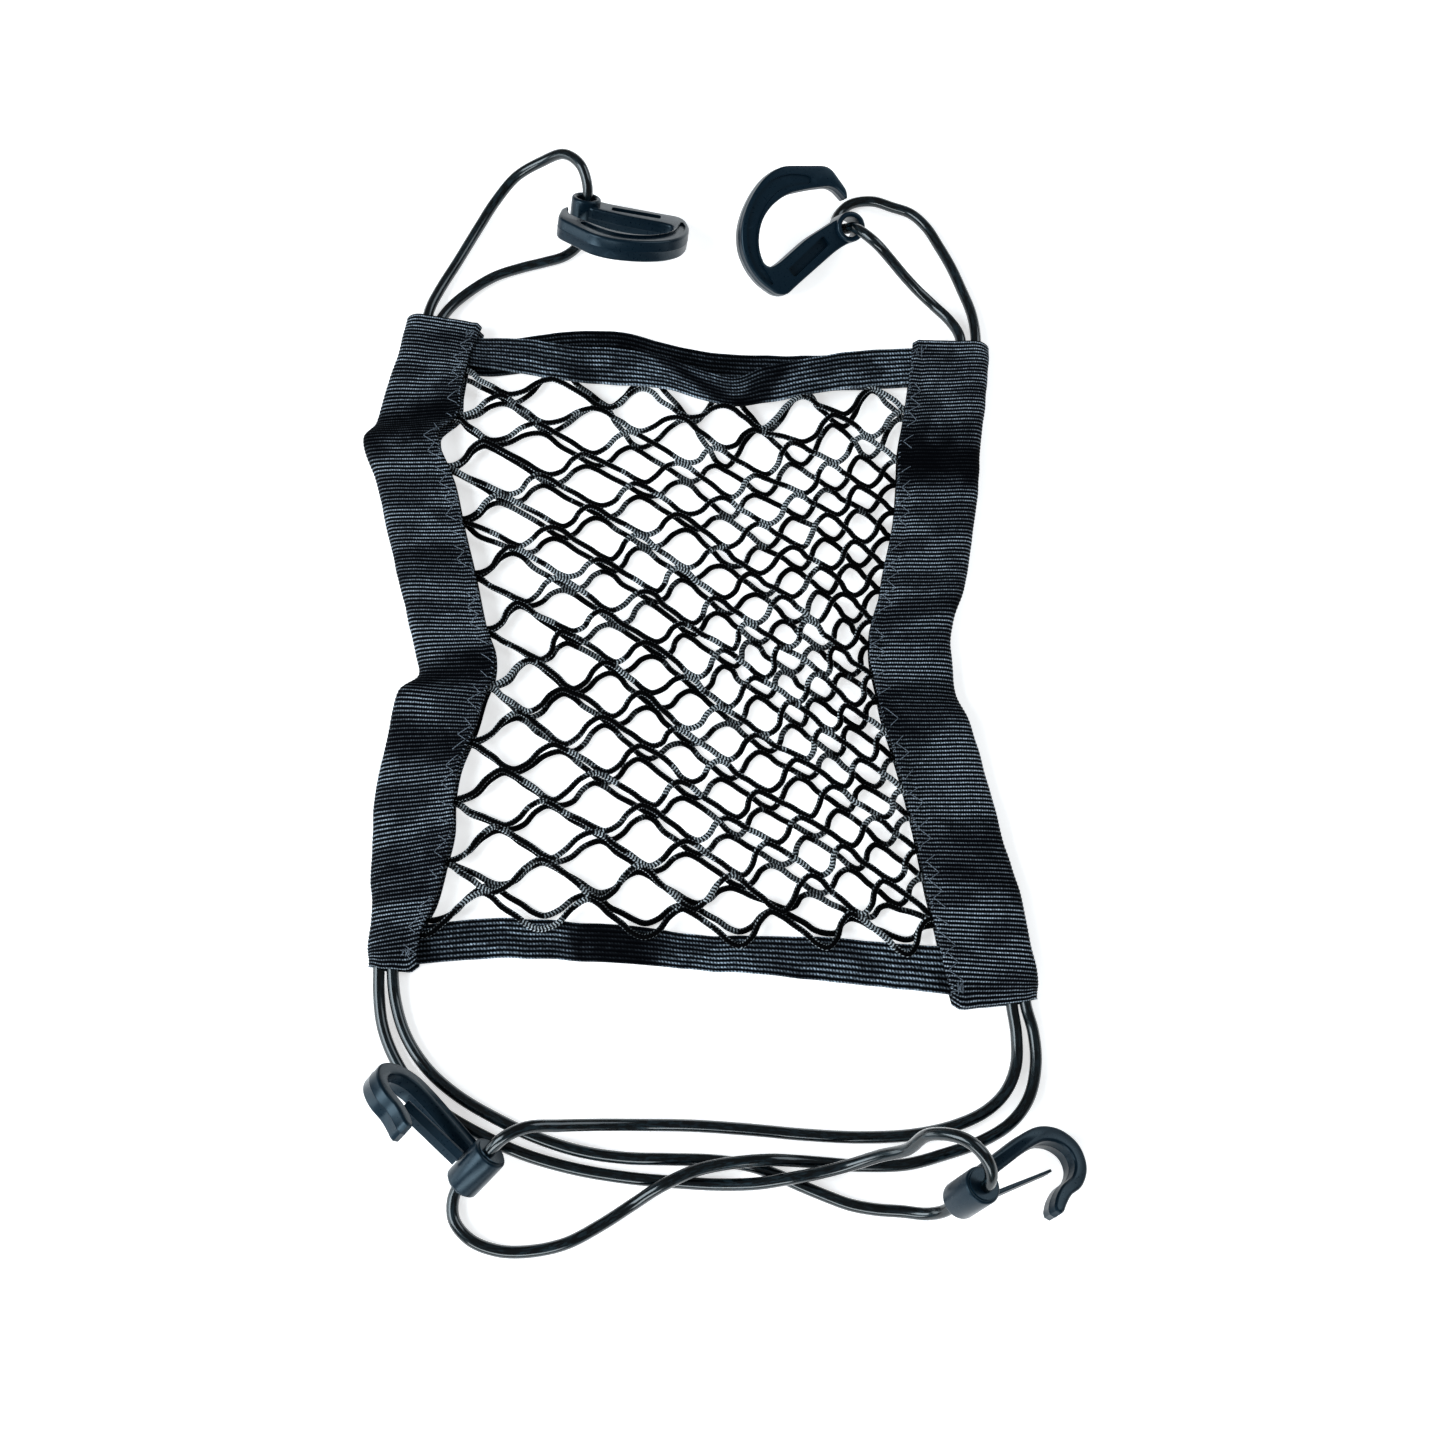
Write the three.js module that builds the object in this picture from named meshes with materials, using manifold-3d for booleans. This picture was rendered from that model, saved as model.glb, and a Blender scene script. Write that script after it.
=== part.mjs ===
// Seat back mesh organizer: a flat two-layer net pocket between two folded side bands,
// with elastic at its mouth and foot, and four bungee loops that each carry a plastic hook.
// It lies on a surface. Millimetres, +X to the right, +Y towards the mouth, +Z up.
import * as THREE from 'three';
import { mergeVertices } from 'three/addons/utils/BufferGeometryUtils.js';
import Module from 'manifold-3d';

const wasm = await Module();
wasm.setup();

// Driving dimensions.
const CLEAR = 0.3; // between neighbouring pieces
const BAND_TAPE = 1; // ribbed tape that is folded into a side band
const BAND_HEIGHT = 7; // side band over its folded tape, floor to top
const ELASTIC = 1.5; // flat elastic at the mouth and foot
const NET = 1.5; // net strands, top to bottom
const CORD = 4; // bungee cord, diameter
const CORD_SIDES = 8;
const CORD_STEP = 9; // along the cord
const FOLD_STEPS = 4; // facets round the fold of a side band
const INNER_LIFT = 0.4; // share of a buckle's height that its open inner edge rises by

// Net: whole cells across, half rows of cells up, the joint where strands fuse, and the rows of
// joints that part it into strips. A joint is two cords side by side, so it parts between them.
const CELLS_ACROSS = 5.5;
const HALF_ROWS = 20;
const STRIP_ENDS = [0, 5, 10, 15, HALF_ROWS];
const COLUMN_SKEW = 0.062; // share of the width that the middle columns lie to the right by
const JOINT_LONG = 2.9;
const JOINT_SHORT = 1.7;
const FRONT_ARCH = 9; // underside of the front net over the floor, mid pocket
const BACK_REST = 0.6; // underside of the back net over the floor, mid pocket

const TAPE_BLACK = 0x0b0e16;
const ELASTIC_BLACK = 0x0c1018;
const NET_BLACK = 0x0a0d11;
const CORD_BLACK = 0x0a0e0f;
const PLASTIC_BLACK = 0x141a20;

// Side bands from foot to mouth: the folded outer edge, the open inner edge over the net,
// and how far the band buckles up off the floor there.
const LEFT_BAND = [
  { outerX: -104, outerY: -118.5, innerX: -87.8, innerY: -118.9, lift: 0 },
  { outerX: -104.6, outerY: -110, innerX: -86.6, innerY: -106, lift: 0 },
  { outerX: -104.2, outerY: -99, innerX: -82.6, innerY: -96, lift: 0 },
  { outerX: -105, outerY: -88, innerX: -79.8, innerY: -83, lift: 0.6 },
  { outerX: -105.4, outerY: -77, innerX: -77.9, innerY: -72, lift: 0 },
  { outerX: -106, outerY: -63, innerX: -78.1, innerY: -60, lift: 0 },
  { outerX: -105, outerY: -53, innerX: -76.6, innerY: -49, lift: 0.8 },
  { outerX: -102.2, outerY: -36, innerX: -71.8, innerY: -35.5, lift: 1.2 },
  { outerX: -99.4, outerY: -22.5, innerX: -69, innerY: -24.5, lift: 3.3 },
  { outerX: -93.6, outerY: -15.5, innerX: -66.4, innerY: -15, lift: 0 },
  { outerX: -94.8, outerY: -8, innerX: -66.8, innerY: -6, lift: 0 },
  { outerX: -97.6, outerY: 3, innerX: -70.2, innerY: 3, lift: 0 },
  { outerX: -103.4, outerY: 24, innerX: -75.2, innerY: 24, lift: 0.5 },
  { outerX: -108.2, outerY: 41, innerX: -80, innerY: 42, lift: 0 },
  { outerX: -113, outerY: 59, innerX: -84.4, innerY: 60, lift: 1 },
  { outerX: -118, outerY: 74.5, innerX: -90.6, innerY: 77, lift: 4.2 },
  { outerX: -115, outerY: 83, innerX: -84, innerY: 86, lift: 0 },
  { outerX: -112, outerY: 97, innerX: -83.2, innerY: 97, lift: 0 },
  { outerX: -108.6, outerY: 112, innerX: -81.4, innerY: 109, lift: 0.2 },
  { outerX: -105.2, outerY: 129, innerX: -76.5, innerY: 124, lift: 0 },
];
const RIGHT_BAND = [
  { outerX: 117.2, outerY: -129, innerX: 89.5, innerY: -131.6, lift: 0 },
  { outerX: 117.6, outerY: -121, innerX: 86.6, innerY: -119, lift: 0 },
  { outerX: 115.3, outerY: -106, innerX: 84, innerY: -104.5, lift: 0 },
  { outerX: 113.6, outerY: -94, innerX: 81.5, innerY: -93, lift: 1 },
  { outerX: 110.6, outerY: -82.5, innerX: 79.8, innerY: -81.5, lift: 0 },
  { outerX: 107.3, outerY: -69.5, innerX: 77.6, innerY: -69, lift: 1 },
  { outerX: 105.2, outerY: -57, innerX: 75.2, innerY: -57, lift: 0 },
  { outerX: 101.3, outerY: -41, innerX: 71.2, innerY: -41, lift: 0.6 },
  { outerX: 98.6, outerY: -32, innerX: 68.4, innerY: -31, lift: 2.4 },
  { outerX: 95.2, outerY: -23, innerX: 67, innerY: -21.5, lift: 0 },
  { outerX: 94.2, outerY: -10, innerX: 65, innerY: -9.5, lift: 0 },
  { outerX: 94.6, outerY: 2, innerX: 65.5, innerY: 2, lift: 0 },
  { outerX: 98.4, outerY: 13.5, innerX: 68.8, innerY: 13.5, lift: 2.4 },
  { outerX: 101.5, outerY: 25, innerX: 71, innerY: 25, lift: 0 },
  { outerX: 104.6, outerY: 43.5, innerX: 75, innerY: 43, lift: 0 },
  { outerX: 106.7, outerY: 57, innerX: 76.6, innerY: 57, lift: 0.7 },
  { outerX: 108.2, outerY: 73, innerX: 77.8, innerY: 73, lift: 0 },
  { outerX: 110.2, outerY: 86.5, innerX: 80.3, innerY: 86, lift: 1 },
  { outerX: 112.4, outerY: 101, innerX: 82.8, innerY: 101, lift: 0 },
  { outerX: 113.8, outerY: 116.2, innerX: 84.8, innerY: 117.4, lift: 0 },
];

// Elastics from left to right: their two edges, and their underside over the floor.
const MOUTH_FRONT = [
  { x: -81.5, far: 119, near: 107.6, under: 4.2 },
  { x: -75.5, far: 118.4, near: 106.7, under: 4.2 },
  { x: -60, far: 117, near: 103, under: 6 },
  { x: -43, far: 112.8, near: 98.8, under: 7.6 },
  { x: -26, far: 111.4, near: 96.8, under: 8.4 },
  { x: -8, far: 107.6, near: 95.4, under: 8.6 },
  { x: 6, far: 102.6, near: 91.2, under: 7.6 },
  { x: 18, far: 99.6, near: 88.4, under: 7.6 },
  { x: 30, far: 104, near: 89.6, under: 8.6 },
  { x: 46, far: 107.6, near: 93.2, under: 8.2 },
  { x: 63, far: 111.6, near: 97, under: 6.2 },
  { x: 80, far: 113.8, near: 99.5, under: 4.2 },
  { x: 87, far: 114.4, near: 100.2, under: 4.2 },
];
const MOUTH_BACK = [
  { x: -81.5, far: 118.6, near: 104.6, under: 1.6 },
  { x: -70, far: 119.4, near: 105, under: 0.8 },
  { x: -56, far: 122, near: 107.6, under: 0.4 },
  { x: -40, far: 123.8, near: 109.2, under: 0.4 },
  { x: -24, far: 123, near: 108.4, under: 0.4 },
  { x: -8, far: 118.2, near: 104, under: 0.6 },
  { x: 8, far: 114.6, near: 100.4, under: 0.4 },
  { x: 30, far: 113.2, near: 99, under: 0.4 },
  { x: 52, far: 113.2, near: 98.8, under: 0.4 },
  { x: 74, far: 113.8, near: 99.4, under: 1.3 },
  { x: 87, far: 114.2, near: 99.8, under: 1.7 },
];
const FOOT = [
  { x: -92, far: -103.8, near: -116.6, under: 1.3 },
  { x: -84, far: -103, near: -116, under: 1.3 },
  { x: -70, far: -101.4, near: -114.8, under: 0.8 },
  { x: -54, far: -101, near: -114.2, under: 0.5 },
  { x: -36, far: -102.4, near: -115.2, under: 0.9 },
  { x: -16, far: -103.8, near: -116.4, under: 1.6 },
  { x: 4, far: -106.6, near: -118.2, under: 0.9 },
  { x: 26, far: -107, near: -119.6, under: 0.5 },
  { x: 48, far: -107.4, near: -122, under: 0.6 },
  { x: 66, far: -109.2, near: -124, under: 0.8 },
  { x: 80, far: -110.2, near: -125.4, under: 1.3 },
  { x: 91, far: -110.8, near: -126.8, under: 1.3 },
];

// Hooks: the middle of the sleeve that the cord runs through, the way the shank runs from
// it, and the side that the bent arm lies on.
const HOOKS = {
  hook_top_left: { sleeve: [-39.3, 171.4, 9], shank: [0.986, -0.114, -0.121], arm: [-0.021, -0.806, 0.591] },
  hook_top_right: { sleeve: [60.5, 162.4, 11.4], shank: [-0.708, -0.694, -0.128], arm: [-0.649, 0.569, 0.504] },
  hook_bottom_left: { sleeve: [-64.4, -182, 9.4], shank: [-0.693, 0.721, 0.02], arm: [-0.301, -0.291, 0.908] },
  hook_bottom_right: { sleeve: [88.9, -189.9, 24.9], shank: [0.743, 0.46, -0.485], arm: [0.545, -0.837, 0.04] },
};

// The closed hook of the two top loops, in its own plane with the sleeve at the origin.
const CLOSED_SLEEVE = { radius: 5.6, bore: 3.7, length: 12 };
const CLOSED_OUTER = [
  [0, -5.2], [9, -3], [30, -2.2], [35.6, -2.2], [38.4, 0.6], [40.4, 8], [40.2, 14.5], [38, 21.5], [33, 27.6],
  [27, 31.4], [20, 34], [12.6, 35.2], [5.6, 33.8], [-8.8, 21.8], [-8.2, 10.6], [-5.9, 7.7],
];
const CLOSED_INNER = [
  [-5.4, 15.4], [2.5, 20.6], [10.6, 25], [18.4, 25.8], [24.4, 24.4], [29.4, 21], [33, 16.6], [34.6, 12],
  [33.4, 9.4], [29.6, 8.5], [15, 8], [7, 6.4], [0, 5.2],
];
// The open hook of the two bottom loops: the middle line of its bar, and the bar's thickness.
const OPEN_SLEEVE = { radius: 5.9, bore: 4.2, length: 15 };
const OPEN_BAR = [
  { x: 0, y: -2.4, thick: 5.2 },
  { x: 14.4, y: -2.9, thick: 5 },
  { x: 27.8, y: -3, thick: 5 },
  { x: 34.2, y: -1.9, thick: 5 },
  { x: 39.2, y: 1.8, thick: 5 },
  { x: 41.3, y: 7.2, thick: 4.7 },
  { x: 39.4, y: 12.5, thick: 4.4 },
  { x: 34.6, y: 15.5, thick: 4.2 },
  { x: 29.2, y: 15.8, thick: 4.1 },
  { x: 25, y: 17.2, thick: 4 },
  { x: 21.1, y: 19.5, thick: 3.4 },
];
const HOOK_WIDTH = 8; // across the bar, along the sleeve's bore
const HOOK_CHAMFER = 0.6;
const SHANK_SLOT = { from: 10, to: 29, low: 0.6, high: 4.6, deep: 2.6 };

// Spring tongue that closes an open hook's mouth, hinged where it meets the sleeve.
const TONGUE = { rootX: 5.6, rootY: 4.2, tipX: 29, tipY: 8.4, thick: 1.5, width: 5.6 };

// Bungee loops from one strand's end in the band, through the hook, to the other strand's end.
const CORDS = {
  cord_top_left: [
    [-99.7, 117, 3.6], [-98.6, 126, 3.5], [-97.4, 133.5, 2.9], [-93.6, 143.5, 2.1], [-88.8, 153, 2.1],
    [-81.2, 168.5, 2.4], [-74.6, 180, 4], [-66.6, 188.6, 7.4], [-56.8, 191.8, 12], [-47.1, 191.1, 17.9],
    [-40.4, 184.9, 19.3], [-37.9, 177.2, 15.6], [-39.3, 171.4, 9], [-40.1, 166.6, 4.1], [-42, 161.6, 2.2],
    [-47.2, 156.4, 2.3], [-55, 153.8, 2.1], [-64, 151.2, 2.1], [-73.8, 147.4, 2.1], [-82.6, 141.2, 2.1],
    [-89.8, 133.6, 2.7], [-93.8, 126, 3.5], [-95.2, 117, 3.6],
  ],
  cord_top_right: [
    [107.8, 106, 3.5], [108.6, 114.6, 3.5], [108.9, 121.5, 3.1], [107.9, 131.5, 2.2], [104.6, 142, 2.1],
    [101.2, 151.5, 2.1], [96.8, 161, 2.1], [92.4, 169.4, 2.1], [86.6, 175.6, 2.1], [79.4, 178.6, 2.1],
    [71.7, 180.9, 2.6], [63.2, 179.6, 2.5], [58.5, 175.1, 2.1], [56.9, 170.2, 3.2], [57.5, 165.7, 6.2], [60.8, 161.9, 12.1],
    [62.7, 159.4, 16.4], [66.1, 154.9, 19.5], [71.2, 150.2, 19], [76.6, 146.8, 14.2], [82, 143.2, 9.2],
    [88, 139.2, 4.6], [94, 134.2, 2.4], [99.4, 128, 2.5], [102.8, 121, 3.2], [103.2, 113.6, 3.5],
    [102.8, 106, 3.5],
  ],
  cord_bottom_left: [
    [-100.6, -108, 3.5], [-100.4, -118, 3.5], [-100, -127, 2.5], [-98.2, -137, 2.1], [-93.8, -147, 2.1],
    [-86.8, -156.6, 2.1], [-77, -164.4, 2.1], [-64, -171.6, 2.1], [-50, -177.6, 2.1], [-34, -182, 2.1],
    [-18, -184.6, 2.1], [-2, -186, 2.1], [12, -186.8, 2.3], [24, -186.6, 4.8], [34, -185.2, 6.9],
    [44, -183.4, 7.1], [53.5, -181.1, 9], [62.4, -178.6, 14.5], [70.3, -177, 21.6], [76.2, -173.1, 31.1],
    [85.8, -174.9, 38.6], [91, -179.4, 39.4], [93.3, -184, 37.2], [93, -187.8, 33], [87.7, -190.6, 23.4],
    [85.6, -191.4, 17.6], [83.2, -194.6, 11.8], [77.7, -195.8, 6.6], [70, -195, 3.6], [62, -194.4, 2.2],
    [54, -193, 2.1], [47, -190.6, 2.1], [39, -187.4, 2.1], [31, -184, 2.1], [22, -181, 2.1],
    [10, -179.4, 2.1], [-4, -179, 2.1],
    [-18, -178.6, 2.1], [-32, -176.6, 2.1], [-46, -172.4, 2.1], [-60, -166.2, 2.1], [-73, -158.8, 2.1],
    [-83, -150.4, 2.1], [-90.4, -140, 2.1], [-94.4, -129, 2.4], [-95.9, -118, 3.5], [-96.1, -108, 3.5],
  ],
  cord_bottom_right: [
    [108.4, -120, 3.5], [108.4, -129.5, 3.4], [109.6, -140, 2.1], [108.8, -150, 2.1], [105, -158, 2.1],
    [98.4, -164, 2.1], [88, -168.6, 2.1], [74.6, -171.4, 2.1], [58, -172.2, 2.1], [40, -171.4, 2.1],
    [22, -169.8, 2.1], [4, -168.6, 2.1], [-12, -168.4, 3], [-26, -168.6, 7], [-38, -169.2, 12.4],
    [-48, -170.1, 17.3], [-55, -173.2, 17.8], [-60.6, -178.1, 13.9], [-64.2, -182.1, 9.2], [-69.1, -185.5, 5],
    [-72.2, -191.2, 2.6], [-71.6, -197.8, 2.1], [-66.2, -203.6, 2.1], [-57.4, -206.8, 2.1], [-47.4, -207, 2.1],
    [-36, -204.6, 2.1], [-25, -199, 2.1], [-15, -192.8, 3.2], [-6, -187.4, 6.5], [5, -182.6, 6.8],
    [16, -180.4, 6.7], [28, -179.4, 6.2], [37, -179.6, 3.4], [46, -180.2, 2.1], [57, -181, 2.1], [72, -180.6, 2.1],
    [84, -177.6, 2.1], [97, -173.2, 2.1], [106.6, -167.4, 2.1], [112.6, -159.6, 2.1], [115.4, -149, 2.1],
    [115.2, -139, 2.1], [112.9, -129.5, 3.5], [113, -120, 3.5],
  ],
};

// Solids from rings, sheets and outlines.

function material(color, roughness) {
  return new THREE.MeshStandardMaterial({ color, roughness, metalness: 0 });
}

function geometryOf(points, triangles) {
  const geometry = new THREE.BufferGeometry();
  geometry.setAttribute('position', new THREE.Float32BufferAttribute(points.flat(), 3));
  geometry.setIndex(triangles.flat());
  return signedVolume(points, triangles) < 0
    ? geometryOf(points, triangles.map(([a, b, c]) => [a, c, b]))
    : geometry;
}

function signedVolume(points, triangles) {
  let volume = 0;
  for (const [a, b, c] of triangles) {
    const corner = new THREE.Vector3(...points[a]);
    const cross = new THREE.Vector3(...points[b]).cross(new THREE.Vector3(...points[c]));
    volume += corner.dot(cross) / 6;
  }
  return volume;
}

// Rings of the same count joined one to the next. Each ring runs out along one face and
// back along the other, so the two ends close in strips between the faces.
function loft(rings) {
  const count = rings[0].length;
  const points = rings.flat();
  const triangles = [];
  for (let ring = 0; ring + 1 < rings.length; ring += 1) {
    for (let k = 0; k < count; k += 1) {
      const a = ring * count + k;
      const b = ring * count + ((k + 1) % count);
      triangles.push([a, b, b + count], [a, b + count, a + count]);
    }
  }
  const last = (rings.length - 1) * count;
  for (let k = 0; k + 1 < count / 2; k += 1) {
    const far = count - 1 - k;
    triangles.push([k, far, far - 1], [k, far - 1, k + 1]);
    triangles.push([last + k, last + far - 1, last + far], [last + k, last + k + 1, last + far - 1]);
  }
  return geometryOf(points, triangles);
}

// A thin sheet with holes: top faces, the same faces below, and walls along every open edge.
function sheet(top, faces, thickness) {
  const count = top.length;
  const points = [...top, ...top.map(([x, y, z]) => [x, y, z - thickness])];
  const triangles = [];
  const edges = new Map();
  for (const face of faces) {
    for (let k = 1; k + 1 < face.length; k += 1) {
      triangles.push([face[0], face[k], face[k + 1]]);
      triangles.push([face[0] + count, face[k + 1] + count, face[k] + count]);
    }
    face.forEach((from, k) => {
      const to = face[(k + 1) % face.length];
      const back = `${to},${from}`;
      if (edges.has(back)) {
        edges.delete(back);
      } else {
        edges.set(`${from},${to}`, [from, to]);
      }
    });
  }
  for (const [from, to] of edges.values()) {
    triangles.push([from, from + count, to + count], [from, to + count, to]);
  }
  return geometryOf(points, triangles);
}

function asManifold(geometry) {
  const bare = geometry.clone();
  bare.deleteAttribute('normal');
  bare.deleteAttribute('uv');
  const merged = mergeVertices(bare, 1e-4);
  return new wasm.Manifold(
    new wasm.Mesh({
      numProp: 3,
      vertProperties: new Float32Array(merged.attributes.position.array),
      triVerts: new Uint32Array(merged.index.array),
    }),
  );
}

function asGeometry(manifold) {
  const mesh = manifold.getMesh();
  const geometry = new THREE.BufferGeometry();
  geometry.setAttribute('position', new THREE.BufferAttribute(new Float32Array(mesh.vertProperties), 3));
  geometry.setIndex(new THREE.BufferAttribute(new Uint32Array(mesh.triVerts), 1));
  return geometry;
}

function between(low, high, value) {
  const t = Math.min(1, Math.max(0, (value - low) / (high - low)));
  return t * t * (3 - 2 * t);
}

function mix(a, b, t) {
  return a + (b - a) * t;
}

// The value of one column of a table at a place along another of its columns.
function lookUp(table, along, column, place) {
  const last = table.length - 2;
  const found = table.findIndex((row, k) => k > last || place < table[k + 1][along]);
  const k = Math.min(found, last);
  const t = (place - table[k][along]) / (table[k + 1][along] - table[k][along]);
  return mix(table[k][column], table[k + 1][column], Math.min(1, Math.max(0, t)));
}

// Side band: a strip of tape folded round its outer edge, open towards the net.
function bandRing(row) {
  const outward = new THREE.Vector2(row.outerX - row.innerX, row.outerY - row.innerY);
  const width = outward.length();
  outward.divideScalar(width);
  const at = (across, up) => [
    row.innerX + outward.x * across,
    row.innerY + outward.y * across,
    row.lift * mix(INNER_LIFT, 1, across / width) + up,
  ];
  const side = (inset) => {
    const radius = BAND_HEIGHT / 2 - inset;
    const path = [at(0, inset)];
    for (let k = 0; k <= FOLD_STEPS; k += 1) {
      const angle = (k / FOLD_STEPS - 0.5) * Math.PI;
      const across = width - BAND_HEIGHT / 2 + Math.cos(angle) * radius;
      path.push(at(across, BAND_HEIGHT / 2 + Math.sin(angle) * radius));
    }
    path.push(at(0, BAND_HEIGHT - inset));
    return path;
  };
  return [...side(0), ...side(BAND_TAPE).reverse()];
}

function sideBand(rows) {
  return loft(rows.map(bandRing));
}

function elastic(rows) {
  return loft(
    rows.map(({ x, far, near, under }) => [
      [x, near, under],
      [x, far, under],
      [x, far, under + ELASTIC],
      [x, near, under + ELASTIC],
    ]),
  );
}

// Net: diamond cells between the bands, from the foot elastic to the mouth elastic.
const FRONT_LAYER = {
  mouth: MOUTH_FRONT,
  footOverlap: 3,
  inBand: BAND_TAPE + 2.6,
  middle: FRONT_ARCH,
  atFoot: (x) => lookUp(FOOT, 'x', 'under', x) + ELASTIC + 2 * CLEAR,
  slip: 0,
  shift: 0,
  wave: 0.4,
};
const BACK_LAYER = {
  mouth: MOUTH_BACK,
  footOverlap: -JOINT_SHORT - CLEAR,
  inBand: BAND_TAPE + 0.6,
  middle: BACK_REST,
  atFoot: () => BACK_REST,
  slip: 9,
  shift: 1.4,
  wave: 1.3,
};

function jointPlace(layer, across, up) {
  const share = across / CELLS_ACROSS;
  const u = share + COLUMN_SKEW * Math.sin(Math.PI * share);
  const v = up / HALF_ROWS;
  const slipped = layer.slip * u ** 2 * between(0, 0.1, v) * between(0, 0.14, 1 - v);
  let x = mix(-75, 75, u);
  let y = 0;
  for (let pass = 0; pass < 4; pass += 1) {
    const foot = lookUp(FOOT, 'x', 'far', x);
    const mouth = lookUp(MOUTH_FRONT, 'x', 'near', x);
    const ownFoot = foot - layer.footOverlap;
    const ownMouth = lookUp(layer.mouth, 'x', 'near', x) - JOINT_SHORT - CLEAR;
    y = mix(foot, mouth, v) - slipped;
    y += (ownFoot - foot) * (1 - between(0, 0.12, v)) + (ownMouth - mouth) * (1 - between(0, 0.1, 1 - v));
    const left = lookUp(LEFT_BAND, 'innerY', 'innerX', y) - 0.6;
    const right = lookUp(RIGHT_BAND, 'innerY', 'innerX', y) + 0.6;
    x = mix(left, right, u);
  }
  const inside = Math.sin(Math.PI * u) * Math.sin(Math.PI * v);
  x += inside * (layer.shift + 1.5 * Math.sin(up * 0.9 + across * 1.7 + layer.wave));
  y += inside * 1.3 * Math.sin(across * 2.3 + up * 0.5 + layer.wave);
  const edge = u < 0.5 ? LEFT_BAND : RIGHT_BAND;
  const [liftBelow, liftAbove] = [-1, 1].map((way) => lookUp(edge, 'innerY', 'lift', y + way * JOINT_SHORT));
  const sides = ((liftBelow + liftAbove) / 2) * INNER_LIFT + layer.inBand;
  const open = between(0, 0.2, Math.min(u, 1 - u));
  const footEnd = mix(layer.atFoot(x), layer.middle, between(0.02, 0.16, v));
  return [x, y, mix(sides, footEnd, open) + NET];
}

// One strip of a net, from one row of joints to another. Where it meets the next strip it has
// only its own half of each joint.
function netStrip(layer, firstRow, lastRow) {
  const places = [];
  const faces = [];
  const joints = new Map();
  for (let row = firstRow; row <= lastRow; row += 1) {
    const upperHalf = row === firstRow && firstRow > 0;
    const lowerHalf = row === lastRow && lastRow < HALF_ROWS;
    for (let across = (row % 2) / 2; across <= CELLS_ACROSS; across += 1) {
      const [x, middle, z] = jointPlace(layer, across, row);
      const y = middle + (upperHalf ? CLEAR / 2 : 0) - (lowerHalf ? CLEAR / 2 : 0);
      const corners = { east: [x + JOINT_LONG, y, z] };
      if (!lowerHalf) {
        corners.north = [x, y + JOINT_SHORT, z];
      }
      corners.west = [x - JOINT_LONG, y, z];
      if (!upperHalf) {
        corners.south = [x, y - JOINT_SHORT, z];
      }
      const joint = {};
      for (const [side, place] of Object.entries(corners)) {
        joint[side] = places.length;
        places.push(place);
      }
      faces.push(Object.values(joint));
      joints.set(`${row},${across}`, joint);
    }
  }
  for (const [key, joint] of joints) {
    const [row, across] = key.split(',').map(Number);
    const right = joints.get(`${row + 1},${across + 0.5}`);
    const left = joints.get(`${row + 1},${across - 0.5}`);
    if (right) {
      faces.push([joint.east, right.south, right.west, joint.north]);
    }
    if (left) {
      faces.push([joint.north, left.east, left.south, joint.west]);
    }
  }
  return sheet(places, faces, NET);
}

function cord(points) {
  const route = new THREE.CatmullRomCurve3(points.map((p) => new THREE.Vector3(...p)), false, 'centripetal');
  const section = new THREE.Shape();
  for (let side = 0; side < CORD_SIDES; side += 1) {
    const angle = (side / CORD_SIDES) * 2 * Math.PI;
    const x = (Math.cos(angle) * CORD) / 2;
    const y = (Math.sin(angle) * CORD) / 2;
    if (side === 0) {
      section.moveTo(x, y);
    } else {
      section.lineTo(x, y);
    }
  }
  section.closePath();
  const steps = Math.min(80, Math.round(route.getLength() / CORD_STEP));
  return new THREE.ExtrudeGeometry(section, { steps, extrudePath: route, bevelEnabled: false });
}

// Hooks, flat in their own plane with the sleeve's bore along +Z.
function plate(outline, width) {
  const geometry = new THREE.ExtrudeGeometry(outline, {
    depth: width - 2 * HOOK_CHAMFER,
    bevelEnabled: true,
    bevelThickness: HOOK_CHAMFER,
    bevelSize: HOOK_CHAMFER,
    bevelOffset: -HOOK_CHAMFER,
    bevelSegments: 1,
    curveSegments: 12,
  });
  geometry.translate(0, 0, HOOK_CHAMFER - width / 2);
  return asManifold(geometry);
}

function disc(radius, width) {
  const outline = new THREE.Shape();
  outline.absarc(0, 0, radius, 0, 2 * Math.PI);
  return plate(outline, width);
}

function boreThrough(radius, length) {
  const bore = new THREE.CylinderGeometry(radius, radius, length + 2, 24);
  bore.rotateX(Math.PI / 2);
  return asManifold(bore);
}

function outlineOf(points) {
  return new THREE.Shape(points.map(([x, y]) => new THREE.Vector2(x, y)));
}

function slot(side) {
  const { from, to, low, high, deep } = SHANK_SLOT;
  const block = new THREE.BoxGeometry(to - from, high - low, deep);
  const face = HOOK_WIDTH / 2 - deep / 2 + 0.1;
  block.translate((from + to) / 2, (low + high) / 2, side * face);
  return asManifold(block);
}

function closedHook() {
  const sleeve = CLOSED_SLEEVE;
  const solid = plate(outlineOf([...CLOSED_OUTER, ...CLOSED_INNER]), HOOK_WIDTH)
    .add(disc(sleeve.radius, sleeve.length))
    .subtract(boreThrough(sleeve.bore, sleeve.length))
    .subtract(slot(1))
    .subtract(slot(-1));
  return asGeometry(solid);
}

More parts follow.
